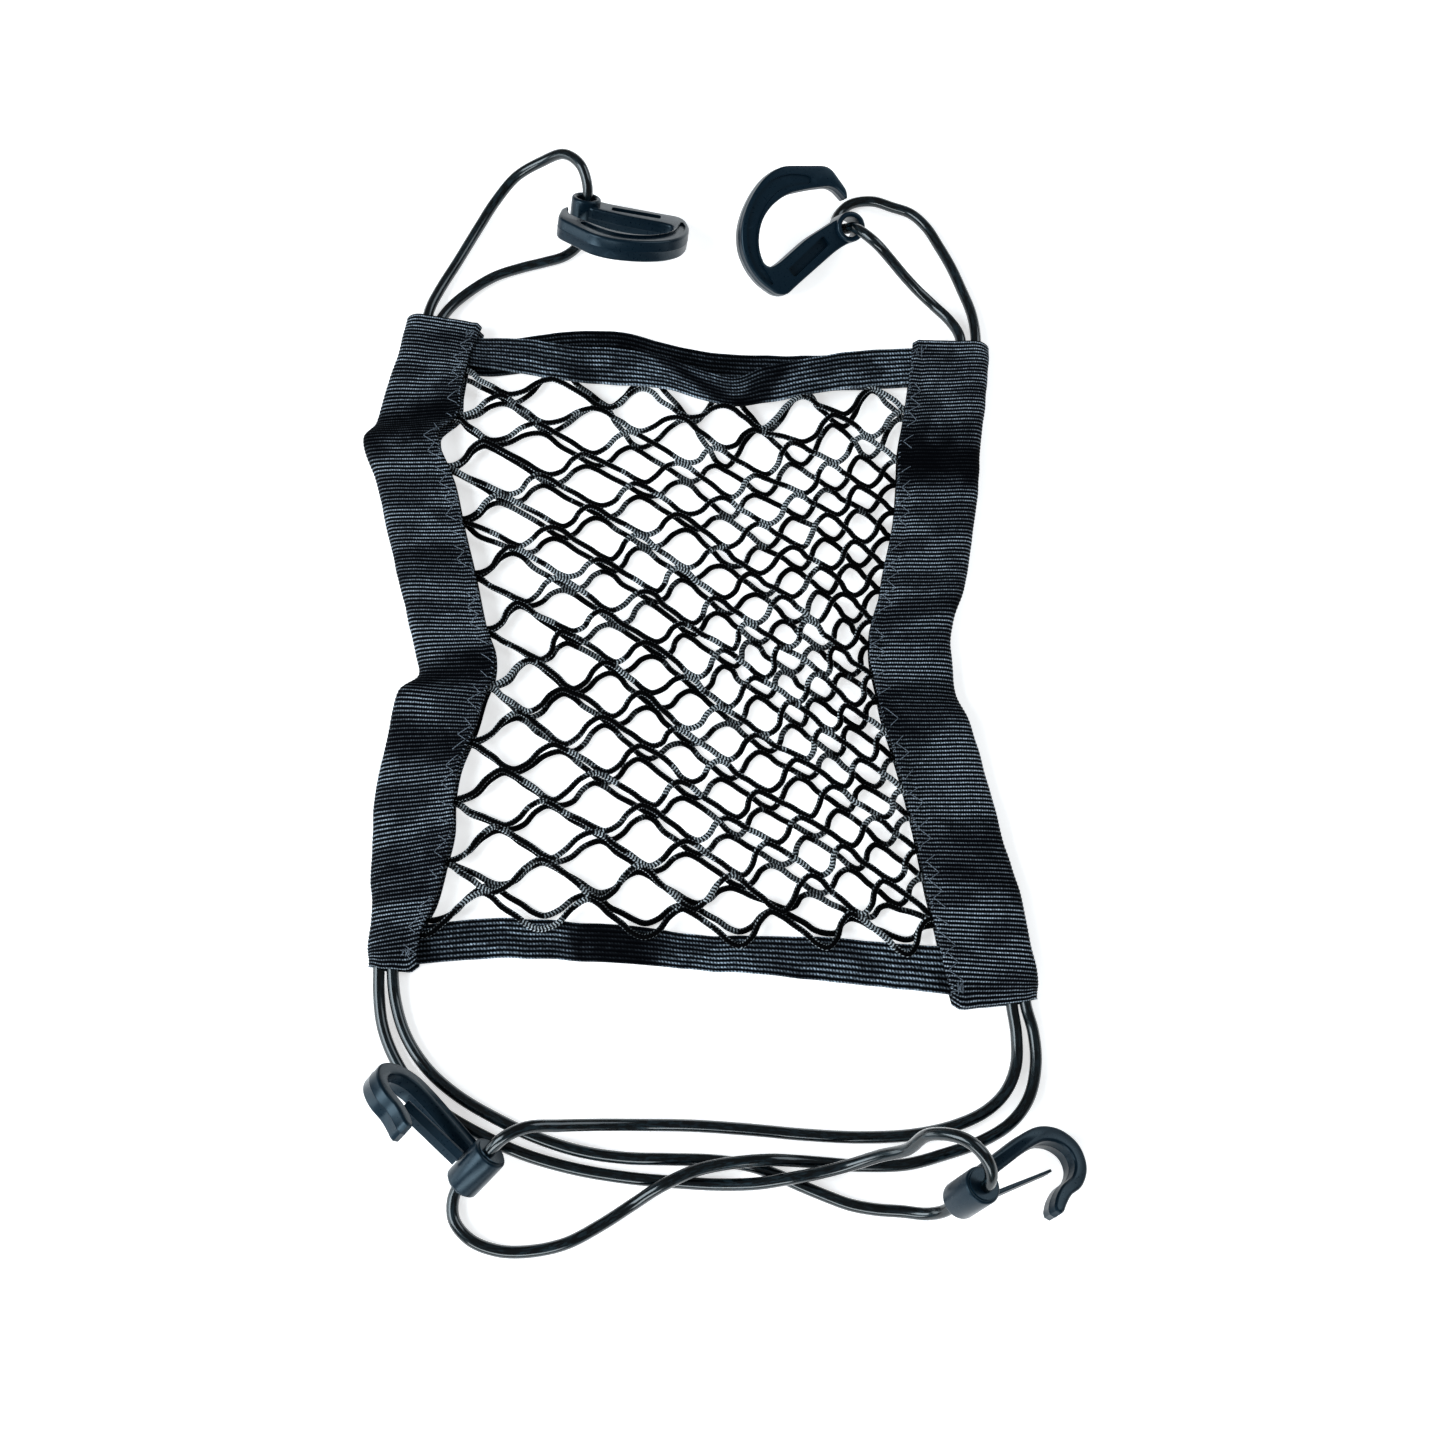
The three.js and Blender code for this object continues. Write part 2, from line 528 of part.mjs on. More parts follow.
function openHook() {
  const sleeve = OPEN_SLEEVE;
  const middle = new THREE.CatmullRomCurve3(
    OPEN_BAR.map(({ x, y }) => new THREE.Vector3(x, y, 0)),
    false,
    'centripetal',
  );
  const steps = 30;
  const near = [];
  const far = [];
  for (let k = 0; k <= steps; k += 1) {
    const at = middle.getPoint(k / steps);
    const along = middle.getTangent(k / steps);
    const row = (k / steps) * (OPEN_BAR.length - 1);
    const low = OPEN_BAR[Math.floor(row)];
    const high = OPEN_BAR[Math.ceil(row)];
    const half = mix(low.thick, high.thick, row % 1) / 2;
    near.push([at.x + along.y * half, at.y - along.x * half]);
    far.unshift([at.x - along.y * half, at.y + along.x * half]);
  }
  const solid = plate(outlineOf([...near, ...far]), HOOK_WIDTH)
    .add(disc(sleeve.radius, sleeve.length))
    .subtract(boreThrough(sleeve.bore, sleeve.length));
  return asGeometry(solid);
}

function tongue() {
  const { rootX, rootY, tipX, tipY, thick, width } = TONGUE;
  const length = Math.hypot(tipX - rootX, tipY - rootY);
  const outline = new THREE.Shape();
  outline.moveTo(0, -thick / 2);
  outline.lineTo(length, -thick / 3);
  outline.lineTo(length, thick / 3);
  outline.lineTo(0, thick / 2);
  outline.absarc(0, 0, thick / 2, Math.PI / 2, (3 * Math.PI) / 2, false);
  const leaf = new THREE.ExtrudeGeometry(outline, { depth: width, bevelEnabled: false, curveSegments: 4 });
  leaf.translate(0, 0, -width / 2);
  leaf.rotateZ(Math.atan2(tipY - rootY, tipX - rootX));
  leaf.translate(rootX, rootY, 0);
  return asGeometry(asManifold(leaf));
}

function hookGroup({ sleeve, shank, arm }) {
  const along = new THREE.Vector3(...shank).normalize();
  const bore = along.clone().cross(new THREE.Vector3(...arm)).normalize();
  const across = bore.clone().cross(along);
  const place = new THREE.Group();
  place.quaternion.setFromRotationMatrix(new THREE.Matrix4().makeBasis(along, across, bore));
  place.position.set(...sleeve);
  return place;
}

function named(name, geometry, finish) {
  const mesh = new THREE.Mesh(geometry, finish);
  mesh.name = name;
  return mesh;
}

const group = new THREE.Group();
group.add(
  named('side_band_left', sideBand(LEFT_BAND), material(TAPE_BLACK, 0.75)),
  named('side_band_right', sideBand(RIGHT_BAND), material(TAPE_BLACK, 0.75)),
  named('mouth_elastic_front', elastic(MOUTH_FRONT), material(ELASTIC_BLACK, 0.7)),
  named('mouth_elastic_back', elastic(MOUTH_BACK), material(ELASTIC_BLACK, 0.7)),
  named('foot_elastic', elastic(FOOT), material(ELASTIC_BLACK, 0.7)),
);
for (const [name, layer] of Object.entries({ net_front: FRONT_LAYER, net_back: BACK_LAYER })) {
  for (let strip = 1; strip < STRIP_ENDS.length; strip += 1) {
    const shape = netStrip(layer, STRIP_ENDS[strip - 1], STRIP_ENDS[strip]);
    group.add(named(`${name}_${strip}`, shape, material(NET_BLACK, 0.8)));
  }
}
for (const [name, points] of Object.entries(CORDS)) {
  group.add(named(name, cord(points), material(CORD_BLACK, 0.5)));
}
for (const [name, place] of Object.entries(HOOKS)) {
  const open = name.startsWith('hook_bottom');
  const holder = hookGroup(place);
  holder.add(named(name, open ? openHook() : closedHook(), material(PLASTIC_BLACK, 0.35)));
  if (open) {
    holder.add(named(name.replace('hook', 'tongue'), tongue(), material(PLASTIC_BLACK, 0.35)));
  }
  group.add(holder);
}

export default group;
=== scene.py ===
"""Seat back mesh organizer: the dressed model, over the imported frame.

Two folded side bands of ribbed tape, elastics at the mouth and foot, two layers of braided
net, and four bungee loops that each carry a plastic hook. Millimetres in the tables, metres
in Blender.
"""
import math

import bpy
from mathutils import Matrix, Vector, geometry, noise


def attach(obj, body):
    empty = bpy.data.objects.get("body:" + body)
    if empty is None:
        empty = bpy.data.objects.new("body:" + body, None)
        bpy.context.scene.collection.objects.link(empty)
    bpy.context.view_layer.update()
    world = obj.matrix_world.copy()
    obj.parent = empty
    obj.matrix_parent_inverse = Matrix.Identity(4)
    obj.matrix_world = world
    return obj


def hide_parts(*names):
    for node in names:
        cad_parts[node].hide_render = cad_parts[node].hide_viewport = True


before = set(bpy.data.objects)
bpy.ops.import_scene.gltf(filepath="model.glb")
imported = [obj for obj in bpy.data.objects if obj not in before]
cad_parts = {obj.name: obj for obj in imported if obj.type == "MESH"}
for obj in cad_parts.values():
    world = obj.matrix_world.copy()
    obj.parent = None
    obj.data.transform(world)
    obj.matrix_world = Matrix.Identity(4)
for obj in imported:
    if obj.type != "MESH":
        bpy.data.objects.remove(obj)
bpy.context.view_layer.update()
MM = 0.001

# ---------------------------------------------------------------- camera, light and floor


def make_camera():
    look_at = Vector((12.5, -30.5, 0)) * MM
    elevation = math.radians(72)
    distance = 0.56
    data = bpy.data.cameras.new("camera")
    data.lens = 40
    data.sensor_width = 36
    camera = bpy.data.objects.new("camera", data)
    camera.location = look_at + distance * Vector((0, -math.cos(elevation), math.sin(elevation)))
    camera.rotation_euler = (math.pi / 2 - elevation, 0, 0)
    bpy.context.scene.collection.objects.link(camera)
    bpy.context.scene.camera = camera


def area_light(name, place, aim, size, power, colour):
    data = bpy.data.lights.new(name, "AREA")
    data.shape = "RECTANGLE"
    data.size, data.size_y = size
    data.energy = power
    data.color = colour
    lamp = bpy.data.objects.new(name, data)
    lamp.location = place
    lamp.rotation_euler = (Vector(aim) - Vector(place)).to_track_quat("-Z", "Y").to_euler()
    bpy.context.scene.collection.objects.link(lamp)


def make_studio():
    area_light("left window", (-0.9, -0.25, 0.8), (0, 0, 0), (0.7, 0.7), 15, (0.86, 0.94, 1.0))
    area_light("right window", (0.95, 0.55, 0.8), (0, 0, 0), (0.8, 0.8), 7, (0.86, 0.94, 1.0))
    area_light("front strip", (-0.25, -0.95, 0.42), (0, 0, 0), (0.8, 0.3), 7, (0.92, 0.97, 1.0))
    area_light("left strip", (-1.0, -0.15, 0.16), (-0.05, 0.1, 0.02), (0.8, 0.2), 2.5, (0.86, 0.95, 1.0))
    bpy.context.scene.view_settings.view_transform = "Standard"
    world = bpy.data.worlds.new("studio")
    world.use_nodes = True
    background = world.node_tree.nodes["Background"]
    background.inputs["Color"].default_value = (0.97, 0.985, 1.0, 1)
    background.inputs["Strength"].default_value = 0.17
    bpy.context.scene.world = world
    bpy.ops.mesh.primitive_plane_add(size=6, location=(0, 0, -0.0004))
    floor = bpy.context.object
    floor.name = "floor"
    paint = bpy.data.materials.new("floor paper")
    paint.use_nodes = True
    shader = paint.node_tree.nodes["Principled BSDF"]
    shader.inputs["Base Color"].default_value = (0.9, 0.9, 0.895, 1)
    shader.inputs["Roughness"].default_value = 0.9
    shader.inputs["Emission Color"].default_value = (1, 1, 1, 1)
    shader.inputs["Emission Strength"].default_value = 0.6
    floor.data.materials.append(paint)


make_camera()
make_studio()

# ---------------------------------------------------------------- curves and small helpers


def lerp(a, b, t):
    return a + (b - a) * t


def ease(low, high, value):
    t = min(1.0, max(0.0, (value - low) / (high - low)))
    return t * t * (3 - 2 * t)


def wobble(x, y, seed, scale):
    """Smooth noise from -1 to 1 that is the same on every run."""
    return noise.noise(Vector((x / scale, y / scale, seed * 7.31)))


def spline(points, step):
    """Points a step apart along a centripetal Catmull-Rom curve through the given ones."""
    points = [Vector(p) for p in points]
    ends = [2 * points[0] - points[1]] + points + [2 * points[-1] - points[-2]]
    dense = []
    for a, b, c, d in zip(ends, ends[1:], ends[2:], ends[3:]):
        t1 = max((b - a).length, 1e-9) ** 0.5
        t2 = t1 + max((c - b).length, 1e-9) ** 0.5
        t3 = t2 + max((d - c).length, 1e-9) ** 0.5
        count = max(2, int((c - b).length / step * 3) + 1)
        for k in range(count):
            t = lerp(t1, t2, k / count)
            ab = a * ((t1 - t) / t1) + b * (t / t1)
            bc = b * ((t2 - t) / (t2 - t1)) + c * ((t - t1) / (t2 - t1))
            cd = c * ((t3 - t) / (t3 - t2)) + d * ((t - t2) / (t3 - t2))
            abc = ab * ((t2 - t) / t2) + bc * (t / t2)
            bcd = bc * ((t3 - t) / (t3 - t1)) + cd * ((t - t1) / (t3 - t1))
            dense.append(abc * ((t2 - t) / (t2 - t1)) + bcd * ((t - t1) / (t2 - t1)))
    dense.append(points[-1])
    return resample(dense, step)


def resample(line, step):
    lengths = [0.0]
    for a, b in zip(line, line[1:]):
        lengths.append(lengths[-1] + (b - a).length)
    count = max(2, round(lengths[-1] / step))
    out, k = [], 0
    for i in range(count + 1):
        want = lengths[-1] * i / count
        while k < len(line) - 2 and lengths[k + 1] < want:
            k += 1
        span = max(lengths[k + 1] - lengths[k], 1e-12)
        out.append(line[k].lerp(line[k + 1], min(1, (want - lengths[k]) / span)))
    return out


def curve_length(line):
    return sum((b - a).length for a, b in zip(line, line[1:]))


class Rows:
    """A table of rows, read smoothly at any length along it."""

    def __init__(self, columns, rows, middle):
        self.rows = [dict(zip(columns, row)) for row in rows]
        self.at = [0.0]
        for a, b in zip(self.rows, self.rows[1:]):
            self.at.append(self.at[-1] + (Vector(middle(b)) - Vector(middle(a))).length)
        self.length = self.at[-1]

    def tangent(self, k, column):
        low, high = max(k - 1, 0), min(k + 1, len(self.rows) - 1)
        rise = self.rows[high][column] - self.rows[low][column]
        return rise / (self.at[high] - self.at[low])

    def read(self, place, column):
        k = 0
        while k < len(self.at) - 2 and self.at[k + 1] < place:
            k += 1
        span = self.at[k + 1] - self.at[k]
        t = (place - self.at[k]) / span
        a, b = self.rows[k][column], self.rows[k + 1][column]
        ta, tb = self.tangent(k, column) * span, self.tangent(k + 1, column) * span
        bend = (1 + 2 * t) * (1 - t) ** 2 * a + t * (1 - t) ** 2 * ta
        return bend + t * t * (3 - 2 * t) * b + t * t * (t - 1) * tb

    def look_up(self, along, column, value):
        """One column where another, which rises from row to row, has a value."""
        rows = self.rows
        k = 0
        while k < len(rows) - 2 and rows[k + 1][along] < value:
            k += 1
        t = (value - rows[k][along]) / (rows[k + 1][along] - rows[k][along])
        return lerp(rows[k][column], rows[k + 1][column], min(1, max(0, t)))


def new_object(name, vertices, faces, uvs=None, smooth=True, sheen=None):
    """A mesh in metres from points in millimetres. uvs has a pair per vertex, or per face corner."""
    mesh = bpy.data.meshes.new(name)
    mesh.from_pydata([tuple(Vector(v) * MM) for v in vertices], [], faces)
    if uvs:
        layer = mesh.uv_layers.new(name="cloth")
        by_corner = len(uvs) == len(mesh.loops)
        for loop in mesh.loops:
            layer.data[loop.index].uv = uvs[loop.index if by_corner else loop.vertex_index]
    # sheen holds painted light and painted shade per vertex, for the cloth materials.
    if sheen:
        mesh.attributes.new("sheen", "FLOAT", "POINT").data.foreach_set("value", sheen)
    mesh.polygons.foreach_set("use_smooth", [smooth] * len(mesh.polygons))
    mesh.update()
    obj = bpy.data.objects.new(name, mesh)
    bpy.context.scene.collection.objects.link(obj)
    return obj


def skin_faces(rings, count):
    """The faces between neighbouring rings of points, each ring closed and of the same count."""
    faces = []
    for ring in range(rings - 1):
        for k in range(count):
            a, b = ring * count + k, ring * count + (k + 1) % count
            faces.append((a, b, b + count, a + count))
    return faces


def tube(line, radius, sides, flat=1.0, start=0.0, up=Vector((0, 0, 1))):
    """Vertices, faces and face corners' uvs of a tube with closed ends. flat squeezes it along up."""
    vertices, uvs = [], []
    travelled = [start]
    for k, point in enumerate(line):
        ahead = line[min(k + 1, len(line) - 1)] - line[max(k - 1, 0)]
        ahead = ahead.normalized() if ahead.length > 1e-9 else Vector((1, 0, 0))
        side = ahead.cross(up)
        side = side.normalized() if side.length > 1e-6 else Vector((1, 0, 0))
        above = side.cross(ahead)
        if k:
            travelled.append(travelled[-1] + (point - line[k - 1]).length)
        for s in range(sides):
            angle = 2 * math.pi * s / sides
            outward, upward = math.cos(angle) * radius, math.sin(angle) * radius * flat
            vertices.append(point + side * outward + above * upward)
    for near, far in zip(travelled, travelled[1:]):
        for s in range(sides):
            low, high = s / sides, (s + 1) / sides
            uvs += [(near, low), (near, high), (far, high), (far, low)]
    faces = skin_faces(len(line), sides)
    last = (len(line) - 1) * sides
    faces.append(tuple(range(sides - 1, -1, -1)))
    faces.append(tuple(range(last, last + sides)))
    uvs += [(travelled[0], s / sides) for s in range(sides - 1, -1, -1)]
    uvs += [(travelled[-1], s / sides) for s in range(sides)]
    return vertices, faces, uvs


class Bundle:
    """Collects many small tubes into one mesh."""

    def __init__(self):
        self.vertices, self.faces, self.uvs = [], [], []

    def add(self, part):
        vertices, faces, uvs = part
        base = len(self.vertices)
        self.vertices += vertices
        self.faces += [tuple(v + base for v in face) for face in faces]
        self.uvs += uvs

    def build(self, name):
        return new_object(name, self.vertices, self.faces, self.uvs)


# ---------------------------------------------------------------- bungee loops

CORD_DIAMETER = 4
CORD_ON_FLOOR = 2.1
CORD_STEP = 1.1
CORD_SIDES = 16
# Places along each cord's middle. One without a height lies on the floor.
CORDS = {
    "cord_top_left": [
        (-99.7, 117, 3.6), (-98.6, 126, 3.5), (-97.4, 133.5, 2.9), (-93.6, 143.5), (-88.8, 153),
        (-81.2, 168.5, 2.4), (-74.6, 180, 4), (-66.6, 188.6, 7.4), (-56.8, 191.8, 12), (-47.1, 191.1, 17.9),
        (-40.4, 184.9, 19.3), (-37.9, 177.2, 15.6), (-39.3, 171.4, 9), (-40.1, 166.6, 4.1),
        (-42, 161.6, 2.2), (-47.2, 156.4, 2.3), (-55, 153.8), (-64, 151.2), (-73.8, 147.4), (-82.6, 141.2),
        (-89.8, 133.6, 2.7), (-93.8, 126, 3.5), (-95.2, 117, 3.6),
    ],
    "cord_top_right": [
        (107.8, 106, 3.5), (108.6, 114.6, 3.5), (108.9, 121.5, 3.1), (107.9, 131.5, 2.2), (104.6, 142),
        (101.2, 151.5), (96.8, 161), (92.4, 169.4), (86.6, 175.6), (79.4, 178.6), (71.7, 180.9, 2.6),
        (63.2, 179.6, 2.5), (58.5, 175.1), (56.9, 170.2, 3.2), (57.5, 165.7, 6.2), (60.8, 161.9, 12.1),
        (62.7, 159.4, 16.4), (66.1, 154.9, 19.5), (71.2, 150.2, 19), (76.6, 146.8, 14.2), (82, 143.2, 9.2),
        (88, 139.2, 4.6), (94, 134.2, 2.4), (99.4, 128, 2.5), (102.8, 121, 3.2), (103.2, 113.6, 3.5),
        (102.8, 106, 3.5),
    ],
    "cord_bottom_left": [
        (-100.6, -108, 3.5), (-100.4, -118, 3.5), (-100, -127, 2.5), (-98.2, -137), (-93.8, -147),
        (-86.8, -156.6), (-77, -164.4), (-64, -171.6), (-50, -177.6), (-34, -182), (-18, -184.6),
        (-2, -186), (12, -186.8, 2.3), (24, -186.6, 4.8), (34, -185.2, 6.9), (44, -183.4, 7.1),
        (53.5, -181.1, 9), (62.4, -178.6, 14.5), (70.3, -177, 21.6), (76.2, -173.1, 31.1),
        (85.8, -174.9, 38.6), (91, -179.4, 39.4), (93.3, -184, 37.2), (93, -187.8, 33),
        (87.7, -190.6, 23.4), (85.6, -191.4, 17.6), (83.2, -194.6, 11.8), (77.7, -195.8, 6.6),
        (70, -195, 3.6), (62, -194.4, 2.2), (54, -193), (47, -190.6), (39, -187.4), (31, -184), (22, -181),
        (10, -179.4), (-4, -179), (-18, -178.6), (-32, -176.6), (-46, -172.4), (-60, -166.2), (-73, -158.8),
        (-83, -150.4), (-90.4, -140), (-94.4, -129, 2.4), (-95.9, -118, 3.5), (-96.1, -108, 3.5),
    ],
    "cord_bottom_right": [
        (108.4, -120, 3.5), (108.4, -129.5, 3.4), (109.6, -140), (108.8, -150), (105, -158), (98.4, -164),
        (88, -168.6), (74.6, -171.4), (58, -172.2), (40, -171.4), (22, -169.8), (4, -168.6),
        (-12, -168.4, 3), (-26, -168.6, 7), (-38, -169.2, 12.4), (-48, -170.1, 17.3), (-55, -173.2, 17.8),
        (-60.6, -178.1, 13.9), (-64.2, -182.1, 9.2), (-69.1, -185.5, 5), (-72.2, -191.2, 2.6),
        (-71.6, -197.8), (-66.2, -203.6), (-57.4, -206.8), (-47.4, -207), (-36, -204.6), (-25, -199),
        (-15, -192.8, 3.2), (-6, -187.4, 6.5), (5, -182.6, 6.8), (16, -180.4, 6.7), (28, -179.4, 6.2),
        (37, -179.6, 3.4), (46, -180.2), (57, -181), (72, -180.6), (84, -177.6), (97, -173.2),
        (106.6, -167.4), (112.6, -159.6), (115.4, -149), (115.2, -139), (112.9, -129.5, 3.5),
        (113, -120, 3.5),
    ],
}

cords = {}
for cord_name, route in CORDS.items():
    run = spline([(*place, CORD_ON_FLOOR)[:3] for place in route], CORD_STEP)
    sheath = tube(run, CORD_DIAMETER / 2, CORD_SIDES)
    cords[cord_name] = (new_object("bungee_" + cord_name.removeprefix("cord_"), *sheath), run)

# ---------------------------------------------------------------- shader helpers


class Graph:
    """Adds nodes to a tree. A value that is already a socket is linked, a plain one is set."""

    def __init__(self, tree):
        self.tree = tree

    def node(self, kind, values=(), **settings):
        made = self.tree.nodes.new(kind)
        for name, setting in settings.items():
            setattr(made, name, setting)
        for socket, value in dict(values).items():
            self.feed(made.inputs[socket], value)
        return made

    def feed(self, socket, value):
        if isinstance(value, bpy.types.NodeSocket):
            self.tree.links.new(value, socket)
        else:
            socket.default_value = value

    def math(self, operation, *values):
        return self.node("ShaderNodeMath", enumerate(values), operation=operation).outputs[0]

    def times(self, product, *others):
        for value in others:
            product = self.math("MULTIPLY", product, value)
        return product

    def pulse(self, value, pitch, sharpness):
        """A wave from 0 to 1 with a crest every pitch, narrower with more sharpness."""
        turns = self.math("DIVIDE", value, pitch)
        wave = self.math("COSINE", self.times(turns, 2 * math.pi))
        wave = self.math("MULTIPLY_ADD", wave, 0.5, 0.5)
        return self.math("POWER", wave, sharpness)

    def spread(self, value, low, high, to_low=0.0, to_high=1.0):
        made = self.node(
            "ShaderNodeMapRange",
            {"Value": value, "From Min": low, "From Max": high, "To Min": to_low, "To Max": to_high},
            interpolation_type="SMOOTHSTEP",
        )
        return made.outputs["Result"]

    def scaled(self, mask, low, high):
        """A mask from 0 to 1, brought to run from low to high."""
        return self.spread(mask, 0.0, 1.0, low, high)

    def noise(self, place, scale, detail=2.0, distortion=0.0):
        values = {"Vector": place, "Scale": scale, "Detail": detail, "Distortion": distortion}
        return self.node("ShaderNodeTexNoise", values).outputs["Fac"]

    def blend(self, amount, first, second):
        made = self.node("ShaderNodeMix", data_type="RGBA")
        self.feed(made.inputs["Factor"], amount)
        self.feed(made.inputs[6], first)
        self.feed(made.inputs[7], second)
        return made.outputs[2]

    def bump(self, height, strength, distance):
        values = {"Height": height, "Strength": strength, "Distance": distance}
        return self.node("ShaderNodeBump", values).outputs["Normal"]

    def cloth_place(self):
        """Millimetres along and across a piece of cloth, from its own map."""
        place = self.node("ShaderNodeUVMap", uv_map="cloth").outputs["UV"]
        split = self.node("ShaderNodeSeparateXYZ", {"Vector": place})
        return split.outputs["X"], split.outputs["Y"]

    def stretched(self, along, across, share):
        """A place on the cloth, with the way across drawn in or out by a share."""
        drawn = self.times(across, share)
        return self.node("ShaderNodeCombineXYZ", {"X": along, "Y": drawn}).outputs[0]

    def surface_place(self):
        return self.node("ShaderNodeTexCoord").outputs["Object"]

    def sheen(self):
        # Reads the painted light and painted shade stored per vertex.
        return self.node("ShaderNodeAttribute", attribute_name="sheen").outputs["Fac"]

    def use(self, tree, values):
        made = self.tree.nodes.new("ShaderNodeGroup")
        made.node_tree = tree
        for socket, value in values.items():
            self.feed(made.inputs[socket], value)
        return made.outputs


def effect(name, inputs, outputs, build):
    """A node group with float sockets. build gets the graph and the inputs by name."""
    tree = bpy.data.node_groups.new(name, "ShaderNodeTree")
    for label, value in inputs.items():
        kind = "NodeSocketVector" if value is None else "NodeSocketFloat"
        socket = tree.interface.new_socket(label, in_out="INPUT", socket_type=kind)
        if value is not None:
            socket.default_value = value
    for label in outputs:
        tree.interface.new_socket(label, in_out="OUTPUT", socket_type="NodeSocketFloat")
    graph = Graph(tree)
    entry = graph.node("NodeGroupInput").outputs
    leave = graph.node("NodeGroupOutput").inputs
    for label, value in build(graph, entry).items():
        graph.feed(leave[label], value)
    return tree


def build_patches(graph, given):
    """Broad soft areas of noise: painted light and painted shade on the cloth, uneven tone on the cords and
    scuffs on the plastic.
    """
    broad = graph.noise(given["Place"], given["Scale"], 3.0, 0.6)
    return {"Mask": graph.spread(broad, given["Low"], given["High"])}


def build_yarn(graph, given):
    """Single fibres and fluff: a fine mottle for colour and a fine height."""
    fine = graph.noise(given["Place"], given["Scale"], 5.0)
    return {"Mottle": graph.spread(fine, 0.35, 0.68), "Height": fine}


def build_ribs(graph, given):
    """Cross ribs of a woven tape. Each crest shows a row of short floats of its warp yarn."""
    along, across = given["Along"], given["Across"]
    crest = graph.pulse(along, given["Pitch"], given["Sharpness"])
    row = graph.math("ROUND", graph.math("DIVIDE", along, given["Pitch"]))
    staggered = graph.math("ADD", across, graph.times(row, 0.31))
    floats = graph.pulse(staggered, given["Float pitch"], 0.6)
    return {"Floats": graph.times(crest, floats)}


def build_plait(graph, given):
    """Slanted stitches of a braid: two mirrored halves that lean into a chevron."""
    along, side = given["Along"], given["Side"]
    folded = graph.math("ABSOLUTE", graph.math("SUBTRACT", side, 0.5))
    lean = graph.math("MULTIPLY_ADD", folded, given["Lean"], along)
    stitch = graph.pulse(lean, given["Pitch"], given["Sharpness"])
    valley = graph.spread(folded, 0.0, 0.1)
    return {"Stitch": graph.times(stitch, valley), "Height": stitch}


def build_fibres(graph, given):
    """Fine fibres that run along a cord, with no seam round it."""
    turn = graph.times(given["Around"], 2 * math.pi)
    place = graph.node("ShaderNodeCombineXYZ", {
        "X": graph.math("COSINE", turn),
        "Y": graph.math("SINE", turn),
        "Z": graph.times(given["Along"], given["Stretch"]),
    }).outputs[0]
    fine = graph.noise(place, given["Fineness"], 4.0)
    return {"Streaks": graph.spread(fine, 0.42, 0.66), "Height": fine}


PATCHES = effect(
    "sheen patches",
    {"Place": None, "Scale": 30.0, "Low": 0.4, "High": 0.6},
    ["Mask"],
    build_patches,
)
YARN = effect("yarn fibres", {"Place": None, "Scale": 900.0}, ["Mottle", "Height"], build_yarn)
FIBRES = effect(
    "cord fibres",
    {"Along": 0.0, "Around": 0.0, "Stretch": 0.1, "Fineness": 3.0},
    ["Streaks", "Height"],
    build_fibres,
)
RIBS = effect(
    "tape ribs",
    {"Along": 0.0, "Across": 0.0, "Pitch": 1.4, "Sharpness": 3.0, "Float pitch": 0.85},
    ["Floats"],
    build_ribs,
)
PLAIT = effect(
    "braid plait",
    {"Along": 0.0, "Side": 0.0, "Lean": 2.0, "Pitch": 1.0, "Sharpness": 2.0},
    ["Stitch", "Height"],
    build_plait,
)

RIB_PITCH = 1.44
RIDGES = 8
RIDGE_PITCH = 14.2 / RIDGES
NET_YARNS = 3
YARN_BLACK = (0.0003, 0.0005, 0.0012, 1)
NET_BLACK = (0.0003, 0.0004, 0.0006, 1)


def new_material(name, roughness, specular=0.5, **plain):
    made = bpy.data.materials.new(name)
    made.use_nodes = True
    shader = made.node_tree.nodes["Principled BSDF"]
    shader.inputs["Roughness"].default_value = roughness
    shader.inputs["Specular IOR Level"].default_value = specular
    for socket, value in plain.items():
        shader.inputs[socket.replace("_", " ")].default_value = value
    return made, Graph(made.node_tree), shader.inputs


def patches(graph, place, scale, low, high):
    """A mask of broad patches. Fewer and smaller ones with a higher low and high."""
    return graph.use(PATCHES, {"Place": place, "Scale": scale, "Low": low, "High": high})["Mask"]


def yarn_of(graph, scale):
    return graph.use(YARN, {"Place": graph.surface_place(), "Scale": scale})


def weave(graph, shader, bright, dark, light, height, strength, distance):
    """Feeds a woven or braided surface: a light colour where its yarn shows and painted light falls on it,
    and its height.
    """
    graph.feed(shader["Base Color"], graph.blend(bright, dark, light))
    graph.feed(shader["Coat Weight"], bright)
    graph.feed(shader["Normal"], graph.bump(height, strength, distance))


def tape_material():
    made, graph, shader = new_material("ribbed tape", 0.75, 0.02, Coat_Roughness=0.4)
    along, across = graph.cloth_place()
    ribs = graph.use(RIBS, {
        "Along": along, "Across": across, "Pitch": RIB_PITCH, "Sharpness": 5.0, "Float pitch": 0.85,
    })
    drift = graph.stretched(along, across, 0.32)
    yarn = yarn_of(graph, 1500.0)
    # Painted light: broad random patches and the painted shade of the sheen attribute set how light the rib
    # floats are painted.
    lit = graph.times(graph.scaled(patches(graph, drift, 0.12, 0.36, 0.6), 0.38, 1.0), graph.sheen())
    bright = graph.times(ribs["Floats"], lit, graph.scaled(yarn["Mottle"], 0.4, 1.0))
    height = graph.math("MULTIPLY_ADD", yarn["Height"], 0.4, ribs["Floats"])
    weave(graph, shader, bright, YARN_BLACK, (0.57, 0.70, 0.83, 1), height, 0.6, 0.00012)
    return made


